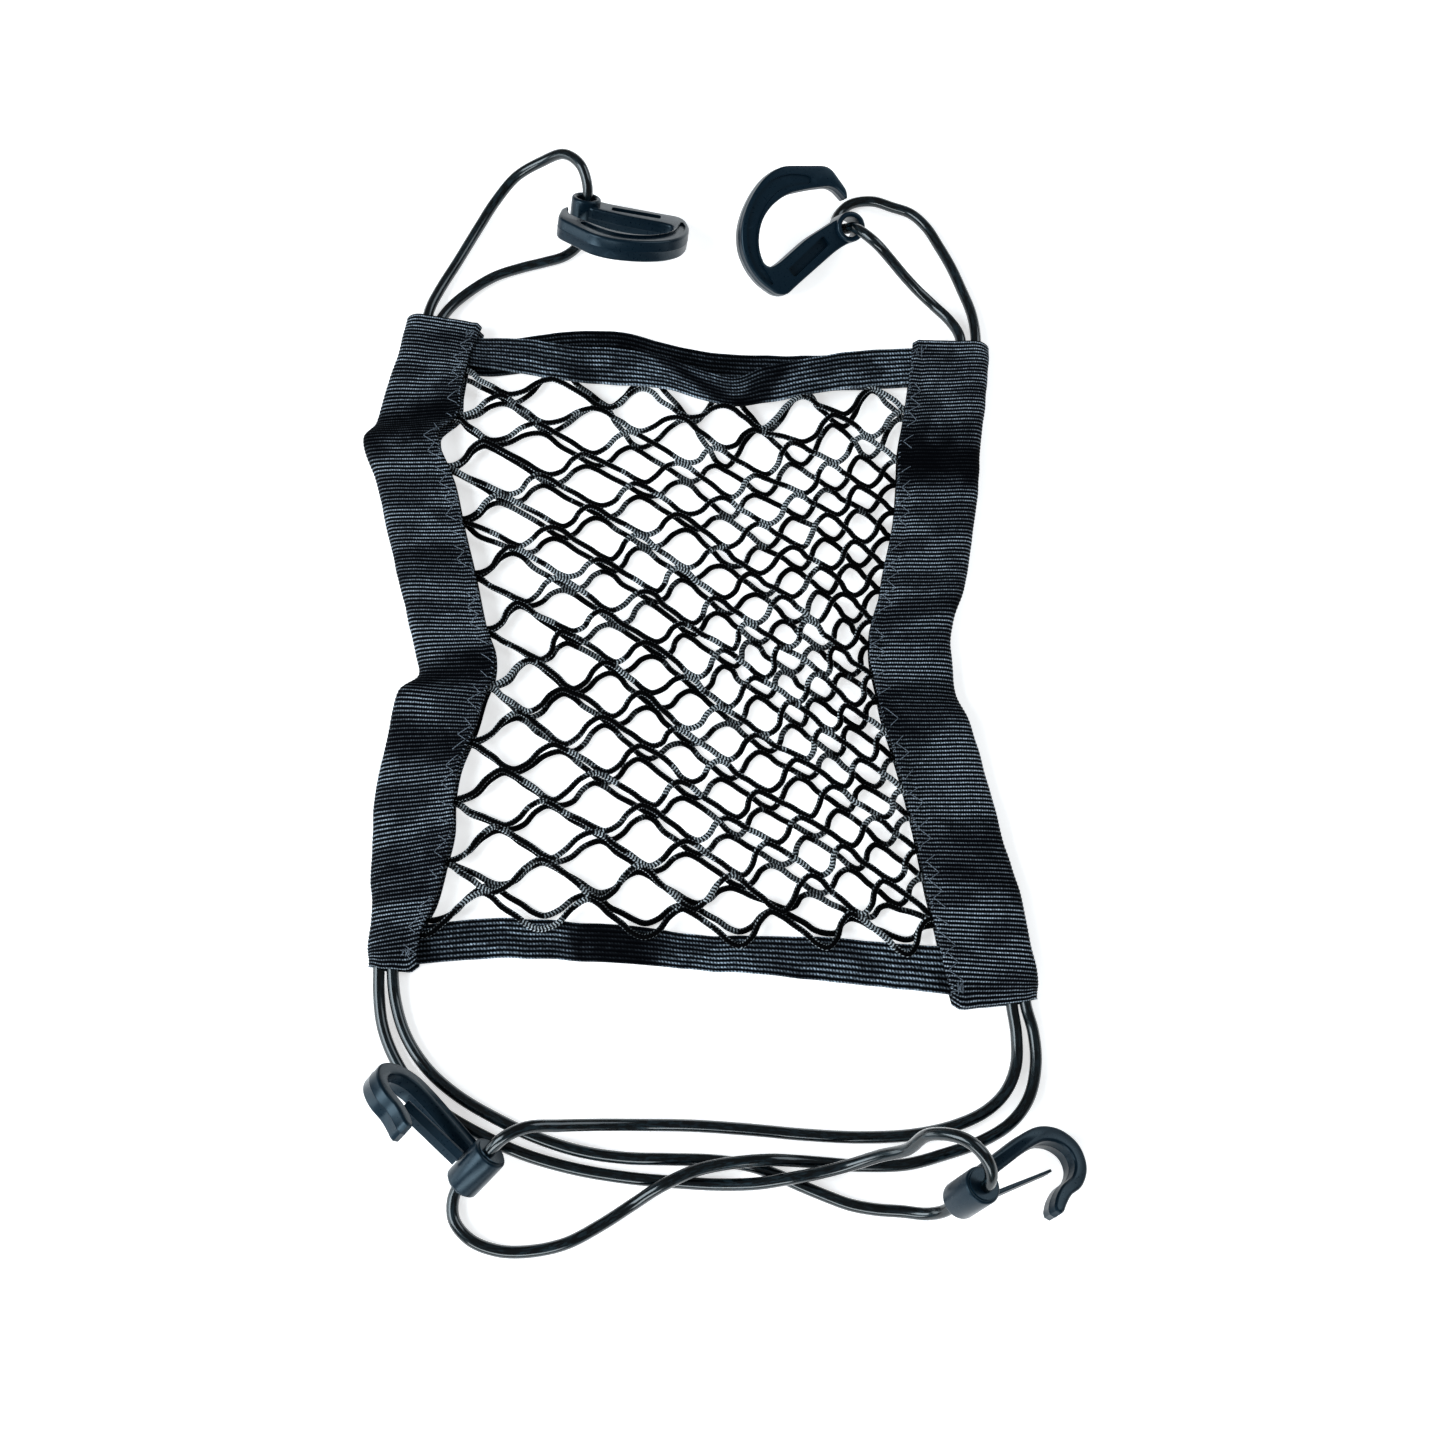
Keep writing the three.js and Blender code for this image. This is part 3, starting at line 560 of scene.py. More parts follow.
def elastic_material(name, painted_light_level):
    """The last argument sets how much painted light its yarn gets; the back elastic gets less, as painted
    shade.
    """
    made, graph, shader = new_material(name, 0.7, 0.02, Coat_Roughness=0.4)
    along, across = graph.cloth_place()
    slanted = graph.math("MULTIPLY_ADD", across, 0.5, along)
    ribs = graph.use(RIBS, {
        "Along": across, "Across": slanted, "Pitch": RIDGE_PITCH, "Sharpness": 2.8, "Float pitch": 1.1,
    })
    drift = graph.stretched(along, across, 3.0)
    yarn = yarn_of(graph, 1400.0)
    # Painted light: broad random patches and the painted shade of the sheen attribute set how light the ridge
    # floats are painted.
    lit = graph.times(graph.scaled(patches(graph, drift, 0.05, 0.38, 0.62), 0.35, 1.0), graph.sheen())
    bright = graph.times(ribs["Floats"], lit, graph.scaled(yarn["Mottle"], 0.25 * painted_light_level, painted_light_level))
    height = graph.math("MULTIPLY_ADD", yarn["Height"], 0.3, ribs["Floats"])
    weave(graph, shader, bright, YARN_BLACK, (0.54, 0.69, 0.84, 1), height, 0.7, 0.00018)
    return made


def net_material(name, painted_light_level):
    made, graph, shader = new_material(name, 0.65, 0.02, Coat_Roughness=0.32)
    along, around = graph.cloth_place()
    half = graph.math("FRACT", graph.times(around, NET_YARNS))
    plait = graph.use(PLAIT, {"Along": along, "Side": half, "Lean": 0.9, "Pitch": 1.15, "Sharpness": 2.4})
    # Painted highlight: each strand is painted lit on set sides round it, the sides that face the lamps, and
    # all round in random bright patches.
    from_crown = graph.math("MULTIPLY_ADD", around, 4 * math.pi, -4 * math.pi * 0.2)
    painted_lit_flanks = graph.spread(graph.times(graph.math("COSINE", from_crown), -1.0), -0.2, 0.5)
    mask = patches(graph, graph.surface_place(), 75.0, 0.36, 0.62)
    painted_lit_sides = graph.math("MAXIMUM", painted_lit_flanks, graph.spread(mask, 0.75, 1.0))
    yarn = yarn_of(graph, 1700.0)
    # Painted light in broad patches, lower on the back net as painted shade.
    lit = graph.spread(mask, 0.0, 0.5, 0.2 * painted_light_level, painted_light_level)
    mottle_and_painted_light = graph.times(graph.scaled(yarn["Mottle"], 0.5, 1.0), painted_lit_sides)
    bright = graph.times(plait["Stitch"], lit, mottle_and_painted_light)
    height = graph.math("MULTIPLY_ADD", yarn["Height"], 0.3, plait["Height"])
    weave(graph, shader, bright, NET_BLACK, (0.74, 0.84, 0.90, 1), height, 0.8, 0.00025)
    return made


def bungee_material():
    gloss = {"Specular_Tint": (0.5, 0.85, 1, 1), "Coat_Weight": 0.8, "Coat_Roughness": 0.13}
    made, graph, shader = new_material("bungee sheath", 0.3, 0.12, **gloss)
    along, around = graph.cloth_place()
    mask = patches(graph, graph.surface_place(), 40.0, 0.3, 0.7)
    fibres = graph.use(FIBRES, {"Along": along, "Around": around, "Stretch": 0.12, "Fineness": 2.6})
    streaks = graph.times(fibres["Streaks"], graph.scaled(mask, 0.4, 1.0))
    colour = graph.blend(streaks, (0.0003, 0.0009, 0.0014, 1), (0.007, 0.015, 0.020, 1))
    graph.feed(shader["Base Color"], colour)
    graph.feed(shader["Roughness"], graph.spread(fibres["Height"], 0.3, 0.7, 0.22, 0.32))
    graph.feed(shader["Normal"], graph.bump(fibres["Height"], 0.2, 0.0001))
    return made


def plastic_material():
    made, graph, shader = new_material("moulded plastic", 0.3, 0.28, Specular_Tint=(0.58, 0.80, 0.94, 1))
    place = graph.surface_place()
    grain = yarn_of(graph, 1100.0)
    scuff = graph.noise(place, 260.0, 6.0, 1.5)
    scuffed = graph.times(graph.spread(scuff, 0.58, 0.72), patches(graph, place, 55.0, 0.3, 0.75))
    colour = graph.blend(scuffed, (0.0018, 0.0080, 0.0150, 1), (0.006, 0.016, 0.027, 1))
    roughness = graph.spread(grain["Height"], 0.3, 0.7, 0.27, 0.32)
    graph.feed(shader["Base Color"], colour)
    graph.feed(shader["Roughness"], graph.math("MULTIPLY_ADD", scuffed, 0.1, roughness))
    graph.feed(shader["Normal"], graph.bump(grain["Height"], 0.05, 0.0001))
    return made


def thread_material(name, light):
    made, graph, shader = new_material(name, 0.55, 0.4)
    along, around = graph.cloth_place()
    twist = graph.math("MULTIPLY_ADD", around, 0.9, along)
    ply = graph.pulse(twist, 0.9, 1.4)
    dark = tuple(0.35 * c for c in light) + (1,)
    graph.feed(shader["Base Color"], graph.blend(ply, dark, light + (1,)))
    graph.feed(shader["Normal"], graph.bump(ply, 0.5, 0.0001))
    return made


TAPE = tape_material()
# The back elastic and back net are copies painted darker, as painted shade.
ELASTIC_FRONT = elastic_material("front elastic", 1.0)
ELASTIC_BACK = elastic_material("back elastic", 0.22)
NET_FRONT = net_material("front net braid", 0.88)
NET_BACK = net_material("back net braid", 0.45)
SHEATH = bungee_material()
PLASTIC = plastic_material()
THREAD = thread_material("sewing thread", (0.16, 0.20, 0.25))


def finish(piece, material, body="organizer", replaces=()):
    piece.data.materials.clear()
    piece.data.materials.append(material)
    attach(piece, body)
    if replaces:
        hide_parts(*replaces)


# ---------------------------------------------------------------- hooks

# Each hook's sleeve, the way its shank points, and the way its arm lies from the shank.
HOOKS = {
    "hook_top_left": ((-39.3, 171.4, 9), (0.986, -0.114, -0.121), (-0.021, -0.806, 0.591)),
    "hook_top_right": ((60.5, 162.4, 11.4), (-0.708, -0.694, -0.128), (-0.649, 0.569, 0.504)),
    "hook_bottom_left": ((-64.4, -182, 9.4), (-0.693, 0.721, 0.02), (-0.301, -0.291, 0.908)),
    "hook_bottom_right": ((88.9, -189.9, 24.9), (0.743, 0.46, -0.485), (0.545, -0.837, 0.04)),
}
HOOK_WIDTH = 8
ROUNDING = 0.9
PARTING = {"half": 0.25, "proud": 0.12}
SHARP_FROM = 38
BORE_CLEAR = 0.6
CUTTER_PAST = 0.4
CLOSED_SLEEVE = {"radius": 5.6, "bore": 3.7, "length": 12}
CLOSED_CORNER = 3.4
CLOSED_OUTER = [
    (0, -5.2), (9, -3), (30, -2.2), (35.6, -2.2), (38.4, 0.6), (40.4, 8), (40.2, 14.5), (38, 21.5),
    (33, 27.6), (27, 31.4), (20, 34), (12.6, 35.2), (5.6, 33.8), (-8.8, 21.8), (-8.2, 10.6), (-5.9, 7.7),
]
CLOSED_INNER = [
    (-5.4, 15.4), (2.5, 20.6), (10.6, 25), (18.4, 25.8), (24.4, 24.4), (29.4, 21), (33, 16.6), (34.6, 12),
    (33.4, 9.4), (29.6, 8.5), (15, 8), (7, 6.4), (0, 5.2),
]
OPEN_SLEEVE = {"radius": 5.9, "bore": 4.2, "length": 15}
OPEN_BAR = [
    (0, -2.4, 5.2), (14.4, -2.9, 5), (27.8, -3, 5), (34.2, -1.9, 5), (39.2, 1.8, 5),
    (41.3, 7.2, 4.7), (39.4, 12.5, 4.4), (34.6, 15.5, 4.2), (29.2, 15.8, 4.1), (25, 17.2, 4),
    (21.1, 19.5, 3.4),
]
BAR_STEP = 0.6
BLUNT_END = 0.55
SHANK_SLOT = {"from": 10, "to": 29, "low": 0.6, "high": 4.6, "deep": 2.6, "corner": 1.2}
WEB = [
    (37.2, 4.4, 1), (37.4, 8.4, 2.8), (36.6, 14.4, 3.4), (33.8, 20, 4), (28.6, 25.4, 4.4), (20.8, 29.4, 4.8),
    (13.2, 30.2, 5), (6.4, 27.6, 4.4), (0.4, 22.6, 3),
]
WEB_DEEP = 0.9
TONGUE = {"root": (5.6, 4.2), "tip": (29, 8.4), "thick": 1.5, "tip_share": 0.62, "width": 5.6}
TONGUE_STEPS = 24
TONGUE_ROUNDING = 0.3
TONGUE_SHARP_FROM = 40
TONGUE_BODIES = {"tongue_bottom_left": "left_tongue", "tongue_bottom_right": "right_tongue"}


def hook_matrix(name):
    sleeve, shank, arm = (Vector(v) for v in HOOKS[name])
    along = shank.normalized()
    bore = along.cross(arm).normalized()
    turn = Matrix((along, bore.cross(along), bore)).transposed()
    return Matrix.Translation(sleeve) @ turn.to_4x4()


def rounded_outline(corners, reach, steps=5):
    """A closed outline whose corners are arcs that start up to reach away from each."""
    out = []
    corners = [Vector(c) for c in corners]
    for k, corner in enumerate(corners):
        before, after = corners[k - 1] - corner, corners[(k + 1) % len(corners)] - corner
        cut = min(reach, before.length * 0.48, after.length * 0.48)
        start, end = corner + before.normalized() * cut, corner + after.normalized() * cut
        for s in range(steps + 1):
            t = s / steps
            out.append(start * (1 - t) ** 2 + corner * (2 * t * (1 - t)) + end * t * t)
    return out


def inset(outline, amount):
    """The outline, drawn in by an amount. It runs anticlockwise round its material."""
    out = []
    for k, point in enumerate(outline):
        along = (outline[(k + 1) % len(outline)] - outline[k - 1]).normalized()
        out.append(point + Vector((-along.y, along.x)) * amount)
    return out


def anticlockwise(outline):
    twice_area = sum(a.x * b.y - b.x * a.y for a, b in zip(outline, outline[1:] + outline[:1]))
    return outline[::-1] if twice_area < 0 else outline


def moulded_plate(outline, width, rounding=ROUNDING, steps=4):
    """A flat moulding with rounded rims and a faint parting line at its middle."""
    outline = anticlockwise(outline)
    levels = []
    for s in range(steps + 1):
        angle = math.pi / 2 * s / steps
        levels.append((-width / 2 + rounding * (1 - math.sin(angle)), rounding * (1 - math.cos(angle))))
    levels.reverse()
    levels += [(-PARTING["half"], 0), (0, -PARTING["proud"]), (PARTING["half"], 0)]
    levels += [(-z, drawn) for z, drawn in reversed(levels[: steps + 1])]
    vertices = []
    count = len(outline)
    for z, drawn in levels:
        vertices += [Vector((p.x, p.y, z)) for p in inset(outline, drawn)]
    faces = skin_faces(len(levels), count)
    last = (len(levels) - 1) * count
    for corners in geometry.tessellate_polygon([[Vector(v) for v in vertices[:count]]]):
        low = tuple(corners)
        faces.append(low[::-1])
        faces.append(tuple(v + last for v in low))
    return vertices, faces, [(0, 0)] * len(vertices)


def sleeve_ring(sizes, turns=40, steps=4):
    """The round sleeve that the bungee runs through, with rounded lips."""
    outer, bore, half = sizes["radius"], sizes["bore"], sizes["length"] / 2
    lip = (outer - bore) / 2
    middle = (outer + bore) / 2
    profile = []
    for end in (1, -1):
        for s in range(2 * steps + 1):
            angle = math.pi * s / (2 * steps)
            profile.append((middle + end * lip * math.cos(angle), end * (half - lip + lip * math.sin(angle))))
    vertices, faces = [], []
    count = len(profile)
    for turn in range(turns):
        angle = 2 * math.pi * turn / turns
        vertices += [Vector((r * math.cos(angle), r * math.sin(angle), z)) for r, z in profile]
    for turn in range(turns):
        for k in range(count):
            a, b = turn * count + k, turn * count + (k + 1) % count
            far = ((turn + 1) % turns) * count
            faces.append((a, far + k, far + (k + 1) % count, b))
    return vertices, faces, [(0, 0)] * len(vertices)


def cut_away(piece, vertices, faces):
    """Cuts a closed shape out of a piece."""
    mesh = bpy.data.meshes.new("cutter")
    mesh.from_pydata([tuple(Vector(v) * MM) for v in vertices], [], faces)
    cutter = bpy.data.objects.new("cutter", mesh)
    bpy.context.scene.collection.objects.link(cutter)
    cut = piece.modifiers.new("cut", "BOOLEAN")
    cut.operation = "DIFFERENCE"
    cut.solver = "EXACT"
    cut.object = cutter
    bpy.context.view_layer.update()
    shaped = bpy.data.meshes.new_from_object(piece.evaluated_get(bpy.context.evaluated_depsgraph_get()))
    piece.modifiers.clear()
    piece.data = shaped
    bpy.data.objects.remove(cutter)


def prism(outline, low, high):
    """A closed shape between two heights over an outline."""
    vertices = [Vector((p.x, p.y, z)) for z in (low, high) for p in outline]
    count = len(outline)
    faces = [tuple(reversed(range(count))), tuple(range(count, 2 * count))]
    return vertices, faces + skin_faces(2, count)


def circle(radius, turns=40):
    angles = [2 * math.pi * k / turns for k in range(turns)]
    return [Vector((radius * math.cos(angle), radius * math.sin(angle))) for angle in angles]


def slot_outline():
    x0, x1, y0, y1 = (SHANK_SLOT[side] for side in ("from", "to", "low", "high"))
    return rounded_outline([(x0, y0), (x1, y0), (x1, y1), (x0, y1)], SHANK_SLOT["corner"], 4)


def set_in_place(piece, name):
    piece.data.transform(Matrix.Scale(MM, 4) @ hook_matrix(name) @ Matrix.Scale(1 / MM, 4))


def bar_outline(rows):
    """Both sides of a bar whose rows hold its middle line and thickness. Its far end is rounded."""
    middle = spline([(x, y, 0) for x, y, _ in rows], BAR_STEP)
    travelled = [0.0]
    for a, b in zip(rows, rows[1:]):
        travelled.append(travelled[-1] + math.dist(a[:2], b[:2]))
    near, far = [], []
    for k, point in enumerate(middle):
        along = (middle[min(k + 1, len(middle) - 1)] - middle[max(k - 1, 0)]).normalized()
        place = travelled[-1] * k / (len(middle) - 1)
        row = max(i for i, at in enumerate(travelled[:-1]) if at <= place + 1e-9)
        share = (place - travelled[row]) / (travelled[row + 1] - travelled[row])
        half = lerp(rows[row][2], rows[row + 1][2], share) / 2
        left = travelled[-1] - place
        if left < half:
            half = max(BLUNT_END * half, math.sqrt(half ** 2 - (half - left) ** 2))
        near.append(Vector((point.x + along.y * half, point.y - along.x * half)))
        far.append(Vector((point.x - along.y * half, point.y + along.x * half)))
    return near + far[::-1]


def face_cutter(outline, deep, side):
    """A cutter that sinks an outline into one face of a hook's plate."""
    outer, floor = HOOK_WIDTH / 2 + CUTTER_PAST, HOOK_WIDTH / 2 - deep
    low, high = (floor, outer) if side > 0 else (-outer, -floor)
    return prism(anticlockwise(outline), low, high)


def make_hook(name):
    is_open = name.startswith("hook_bottom")
    sizes = OPEN_SLEEVE if is_open else CLOSED_SLEEVE
    closed = CLOSED_OUTER + CLOSED_INNER
    outline = bar_outline(OPEN_BAR) if is_open else rounded_outline(closed, CLOSED_CORNER)
    plate = new_object(name.removeprefix("hook_") + "_hook", *moulded_plate(outline, HOOK_WIDTH))
    cut_away(plate, *prism(circle(sizes["bore"] + BORE_CLEAR), -HOOK_WIDTH, HOOK_WIDTH))
    if not is_open:
        for side in (1, -1):
            cut_away(plate, *face_cutter(slot_outline(), SHANK_SLOT["deep"], side))
            cut_away(plate, *face_cutter(bar_outline(WEB), WEB_DEEP, side))
    ring = new_object("ring", *sleeve_ring(sizes))
    with bpy.context.temp_override(active_object=plate, selected_editable_objects=[plate, ring]):
        bpy.ops.object.join()
    set_in_place(plate, name)
    plate.data.polygons.foreach_set("use_smooth", [True] * len(plate.data.polygons))
    plate.data.set_sharp_from_angle(angle=math.radians(SHARP_FROM))
    finish(plate, PLASTIC, replaces=[name])
    return plate


def make_tongue(name, body):
    """The spring leaf that closes an open hook. It tapers from a thick root."""
    root, tip = Vector(TONGUE["root"]), Vector(TONGUE["tip"])
    along = (tip - root).normalized()
    side = Vector((-along.y, along.x))
    near, far = [], []
    for k in range(TONGUE_STEPS + 1):
        t = k / TONGUE_STEPS
        point = root.lerp(tip, t)
        thick = lerp(TONGUE["thick"], TONGUE["thick"] * TONGUE["tip_share"], ease(0, 1, t)) / 2
        near.append(point - side * thick)
        far.append(point + side * thick)
    shape = moulded_plate(near + far[::-1], TONGUE["width"], TONGUE_ROUNDING, 2)
    leaf = new_object("spring_" + name.removeprefix("tongue_"), *shape)
    set_in_place(leaf, name.replace("tongue", "hook"))
    leaf.data.set_sharp_from_angle(angle=math.radians(TONGUE_SHARP_FROM))
    finish(leaf, PLASTIC, body, [name])
    return leaf


hooks = {name: make_hook(name) for name in HOOKS}
tongues = {name: make_tongue(name, body) for name, body in TONGUE_BODIES.items()}

for cord_name, (cord, line) in cords.items():
    finish(cord, SHEATH, replaces=[cord_name])

# ---------------------------------------------------------------- side bands

BAND_TAPE = 1
BAND_HEIGHT = 7
INNER_LIFT = 0.4
SEAM_IN = 4.5
RIB_DEPTH = 0.24
RIB_STEPS = 4
LEAF_STEPS = 12
FOLD_STEPS = 8
CORNER_REACH = 10
UPPER_LEAF = 51
BAND_COLUMNS = ("outer_x", "outer_y", "inner_x", "inner_y", "lift")
LEFT_BAND = [
    (-104, -118.5, -87.8, -118.9, 0), (-104.6, -110, -86.6, -106, 0), (-104.2, -99, -82.6, -96, 0),
    (-105, -88, -79.8, -83, 0.6), (-105.4, -77, -77.9, -72, 0), (-106, -63, -78.1, -60, 0),
    (-105, -53, -76.6, -49, 0.8), (-102.2, -36, -71.8, -35.5, 1.2), (-99.4, -22.5, -69, -24.5, 3.3),
    (-93.6, -15.5, -66.4, -15, 0), (-94.8, -8, -66.8, -6, 0), (-97.6, 3, -70.2, 3, 0),
    (-103.4, 24, -75.2, 24, 0.5), (-108.2, 41, -80, 42, 0), (-113, 59, -84.4, 60, 1),
    (-118, 74.5, -90.6, 77, 4.2), (-115, 83, -84, 86, 0), (-112, 97, -83.2, 97, 0),
    (-108.6, 112, -81.4, 109, 0.2), (-105.2, 129, -76.5, 124, 0),
]
RIGHT_BAND = [
    (117.2, -129, 89.5, -131.6, 0), (117.6, -121, 86.6, -119, 0), (115.3, -106, 84, -104.5, 0),
    (113.6, -94, 81.5, -93, 1), (110.6, -82.5, 79.8, -81.5, 0), (107.3, -69.5, 77.6, -69, 1),
    (105.2, -57, 75.2, -57, 0), (101.3, -41, 71.2, -41, 0.6), (98.6, -32, 68.4, -31, 2.4),
    (95.2, -23, 67, -21.5, 0), (94.2, -10, 65, -9.5, 0), (94.6, 2, 65.5, 2, 0),
    (98.4, 13.5, 68.8, 13.5, 2.4), (101.5, 25, 71, 25, 0), (104.6, 43.5, 75, 43, 0),
    (106.7, 57, 76.6, 57, 0.7), (108.2, 73, 77.8, 73, 0), (110.2, 86.5, 80.3, 86, 1),
    (112.4, 101, 82.8, 101, 0), (113.8, 116.2, 84.8, 117.4, 0),
]

# Painted shade on a strip: its place, half its length, its lean and how dark it is painted.
LEFT_PAINTED_SHADE = [
    (3, 5, 0, 0.4), (34, 7, 0.2, 0.6), (77, 9, -0.25, 0.85), (107, 9, 0.3, 0.92), (148, 8, 0.1, 0.5),
    (208, 11, 0.4, 0.92), (242, 5, 0, 0.5),
]
RIGHT_PAINTED_SHADE = [
    (50, 12, 0.15, 0.65), (103, 10, -0.25, 0.75), (140, 5, -0.3, 0.75), (202, 13, 0.1, 0.97),
    (240, 3, 0, 0.4),
]


def painted_light_at(painted_shade, seed, place, across):
    """Painted light on a strip of cloth: how bright its yarn is painted, with painted shade where it dips or
    is drawn in.
    """
    sheen = 1.0
    for at, half, lean, depth in painted_shade:
        off = (place + lean * across - at + 0.35 * half * wobble(across, place, seed + 13, 5)) / half
        sheen *= 1 - depth * math.exp(-(off ** 4))
    return sheen


class Band:
    """A strip of ribbed tape folded over the net's edge, with its fold on the outside."""

    def __init__(self, rows, seed, painted_shade):
        self.table = Rows(BAND_COLUMNS, rows, self.middle)
        self.painted_shade = painted_shade
        self.length = self.table.length
        self.seed = seed

    @staticmethod
    def middle(row):
        return ((row["outer_x"] + row["inner_x"]) / 2, (row["outer_y"] + row["inner_y"]) / 2)

    def slice(self, place):
        values = [self.table.read(place, column) for column in BAND_COLUMNS]
        outer, inner = Vector(values[0:2]), Vector(values[2:4])
        return inner, (outer - inner).normalized(), (outer - inner).length, max(0.0, values[4])

    def width(self, place):
        return self.slice(place)[2]

    def relief(self, place, across, width):
        """Soft wrinkles, a puff where the bungee lies in the fold, and the pinched seam."""
        wrinkle = 0.55 * wobble(place, across, self.seed, 17)
        wrinkle += 0.22 * wobble(place, across * 0.6, self.seed + 3, 6)
        puff = 0.5 * math.exp(-(((across - width + 7) / 4) ** 2))
        seam = -0.55 * math.exp(-(((across - SEAM_IN) / 1.5) ** 2))
        lip = 0.25 * math.exp(-((across / 1.5) ** 2)) * wobble(place, 0, self.seed + 5, 9)
        return wrinkle * ease(0, 6, across) + puff + seam + lip

    def point(self, place, across, up):
        """A point of the slice. across runs from the inner edge to the start of the fold's arc."""
        inner, outward, width, lift = self.slice(self.trimmed(place, across))
        flat = inner + outward * across
        raised = lift * lerp(INNER_LIFT, 1, across / width)
        return Vector((flat.x, flat.y, raised + up))

    def top(self, place, across, above=0.0):
        """A point on the upper face, for the stitches."""
        relief = self.relief(place, across, self.width(place))
        return self.point(place, across, BAND_HEIGHT + relief + above)

    def trimmed(self, place, across):
        """Draws the cut ends of the tape in at their corners."""
        from_fold = across - self.width(place) + 1
        corner = 1.6 * math.exp(-((across / 1.4) ** 2))
        corner += 1.3 * math.exp(-((from_fold / 2.4) ** 2))
        corner += 0.5 * wobble(across, 0, self.seed + 11, 6)
        start = 1 - ease(0, CORNER_REACH, place)
        end = 1 - ease(0, CORNER_REACH, self.length - place)
        return place + corner * (start - end)

    def skin(self, place, inset):
        """Points of one face from the lower leaf's edge, round the fold, to the upper one's."""
        width = self.width(place)
        half = BAND_HEIGHT / 2
        fold = width - half + 0.4 * wobble(place, 0, self.seed + 9, 8)
        rib = (1 - math.cos(2 * math.pi * place / RIB_PITCH)) * RIB_DEPTH / 2 if inset == 0 else 0
        out = []
        for k in range(LEAF_STEPS):
            across = fold * k / LEAF_STEPS
            out.append((self.point(place, across, inset + rib), across))
        for k in range(FOLD_STEPS + 1):
            angle = (k / FOLD_STEPS - 0.5) * math.pi
            reach = half - inset - rib
            lifted = ease(0.2, 1, k / FOLD_STEPS) * self.relief(place, fold, width)
            up = half + math.sin(angle) * reach + lifted
            point = self.point(place, fold + math.cos(angle) * reach, up)
            out.append((point, fold + half * (angle + math.pi / 2)))
        for k in range(1, LEAF_STEPS + 1):
            across = fold * (1 - k / LEAF_STEPS)
            up = BAND_HEIGHT - inset - rib + self.relief(place, across, width)
            out.append((self.point(place, across, up), 2 * fold - across + half * math.pi))
        return out


def outward_faces(vertices, faces):
    """The faces, turned over if they enclose a negative volume."""
    volume = 0.0
    for face in faces:
        a = vertices[face[0]]
        for b, c in zip(face[1:], face[2:]):
            volume += a.dot(vertices[b].cross(vertices[c]))
    return faces if volume > 0 else [face[::-1] for face in faces]


def make_band(name, band):
    rings = round(band.length / RIB_PITCH * RIB_STEPS)
    vertices, uvs, sheen = [], [], []
    for ring in range(rings + 1):
        place = band.length * ring / rings
        outer = band.skin(place, 0)
        inside = band.skin(place, BAND_TAPE)[::-1]
        for point, around in outer + inside:
            vertices.append(point)
            uvs.append((place, around))
            # Painted light and painted shade per vertex, from the band's table of painted shade.
            sheen.append(painted_light_at(band.painted_shade, band.seed, place, UPPER_LEAF - around))
    count = len(outer) + len(inside)
    faces = skin_faces(rings + 1, count)
    last = rings * count
    for k in range(count // 2 - 1):
        far = count - 1 - k
        faces.append((k, far, far - 1, k + 1))
        faces.append((last + k, last + k + 1, last + far - 1, last + far))
    return new_object(name, vertices, outward_faces(vertices, faces), uvs, sheen=sheen)


left_band = Band(LEFT_BAND, 2, LEFT_PAINTED_SHADE)
right_band = Band(RIGHT_BAND, 5, RIGHT_PAINTED_SHADE)
tapes = [make_band("tape_left", left_band), make_band("tape_right", right_band)]
for tape, node in zip(tapes, ("side_band_left", "side_band_right")):
    finish(tape, TAPE, replaces=[node])

# ---------------------------------------------------------------- elastics

ELASTIC = 1.5
ELASTIC_STEP = 0.9
ELASTIC_LOWEST = 0.15
RIDGE_DEPTH = 0.17
RIDGE_STEPS = 6
ELASTIC_COLUMNS = ("x", "far", "near", "under")
MOUTH_FRONT = [
    (-81.5, 119, 107.6, 4.2), (-75.5, 118.4, 106.7, 4.2), (-60, 117, 103, 6), (-43, 112.8, 98.8, 7.6),
    (-26, 111.4, 96.8, 8.4), (-8, 107.6, 95.4, 8.6), (6, 102.6, 91.2, 7.6), (18, 99.6, 88.4, 7.6),
    (30, 104, 89.6, 8.6), (46, 107.6, 93.2, 8.2), (63, 111.6, 97, 6.2), (80, 113.8, 99.5, 4.2),
    (87, 114.4, 100.2, 4.2),
]
MOUTH_BACK = [
    (-81.5, 118.6, 104.6, 1.6), (-70, 119.4, 105, 0.8), (-56, 122, 107.6, 0.4), (-40, 123.8, 109.2, 0.4),
    (-24, 123, 108.4, 0.4), (-8, 118.2, 104, 0.6), (8, 114.6, 100.4, 0.4), (30, 113.2, 99, 0.4),
    (52, 113.2, 98.8, 0.4), (74, 113.8, 99.4, 1.3), (87, 114.2, 99.8, 1.7),
]
FOOT = [
    (-92, -103.8, -116.6, 1.3), (-84, -103, -116, 1.3), (-70, -101.4, -114.8, 0.8), (-54, -101, -114.2, 0.5),
    (-36, -102.4, -115.2, 0.9), (-16, -103.8, -116.4, 1.6), (4, -106.6, -118.2, 0.9), (26, -107, -119.6, 0.5),
    (48, -107.4, -122, 0.6), (66, -109.2, -124, 0.8), (80, -110.2, -125.4, 1.3), (91, -110.8, -126.8, 1.3),
]
# Painted shade on each elastic: its place, half its length, its lean and how dark it is painted.
FRONT_PAINTED_SHADE = [(44, 6, 0.3, 0.6), (105, 9, 2.2, 0.92), (107, 9, -0.8, 0.92), (2, 6, 0, 0.5)]
BACK_PAINTED_SHADE = [(60, 30, 0, 0.3)]
FOOT_PAINTED_SHADE = [(72, 19, 0.2, 0.97), (8, 5, 0.5, 0.6), (128, 10, 0.8, 0.5), (186, 6, 0, 0.5)]


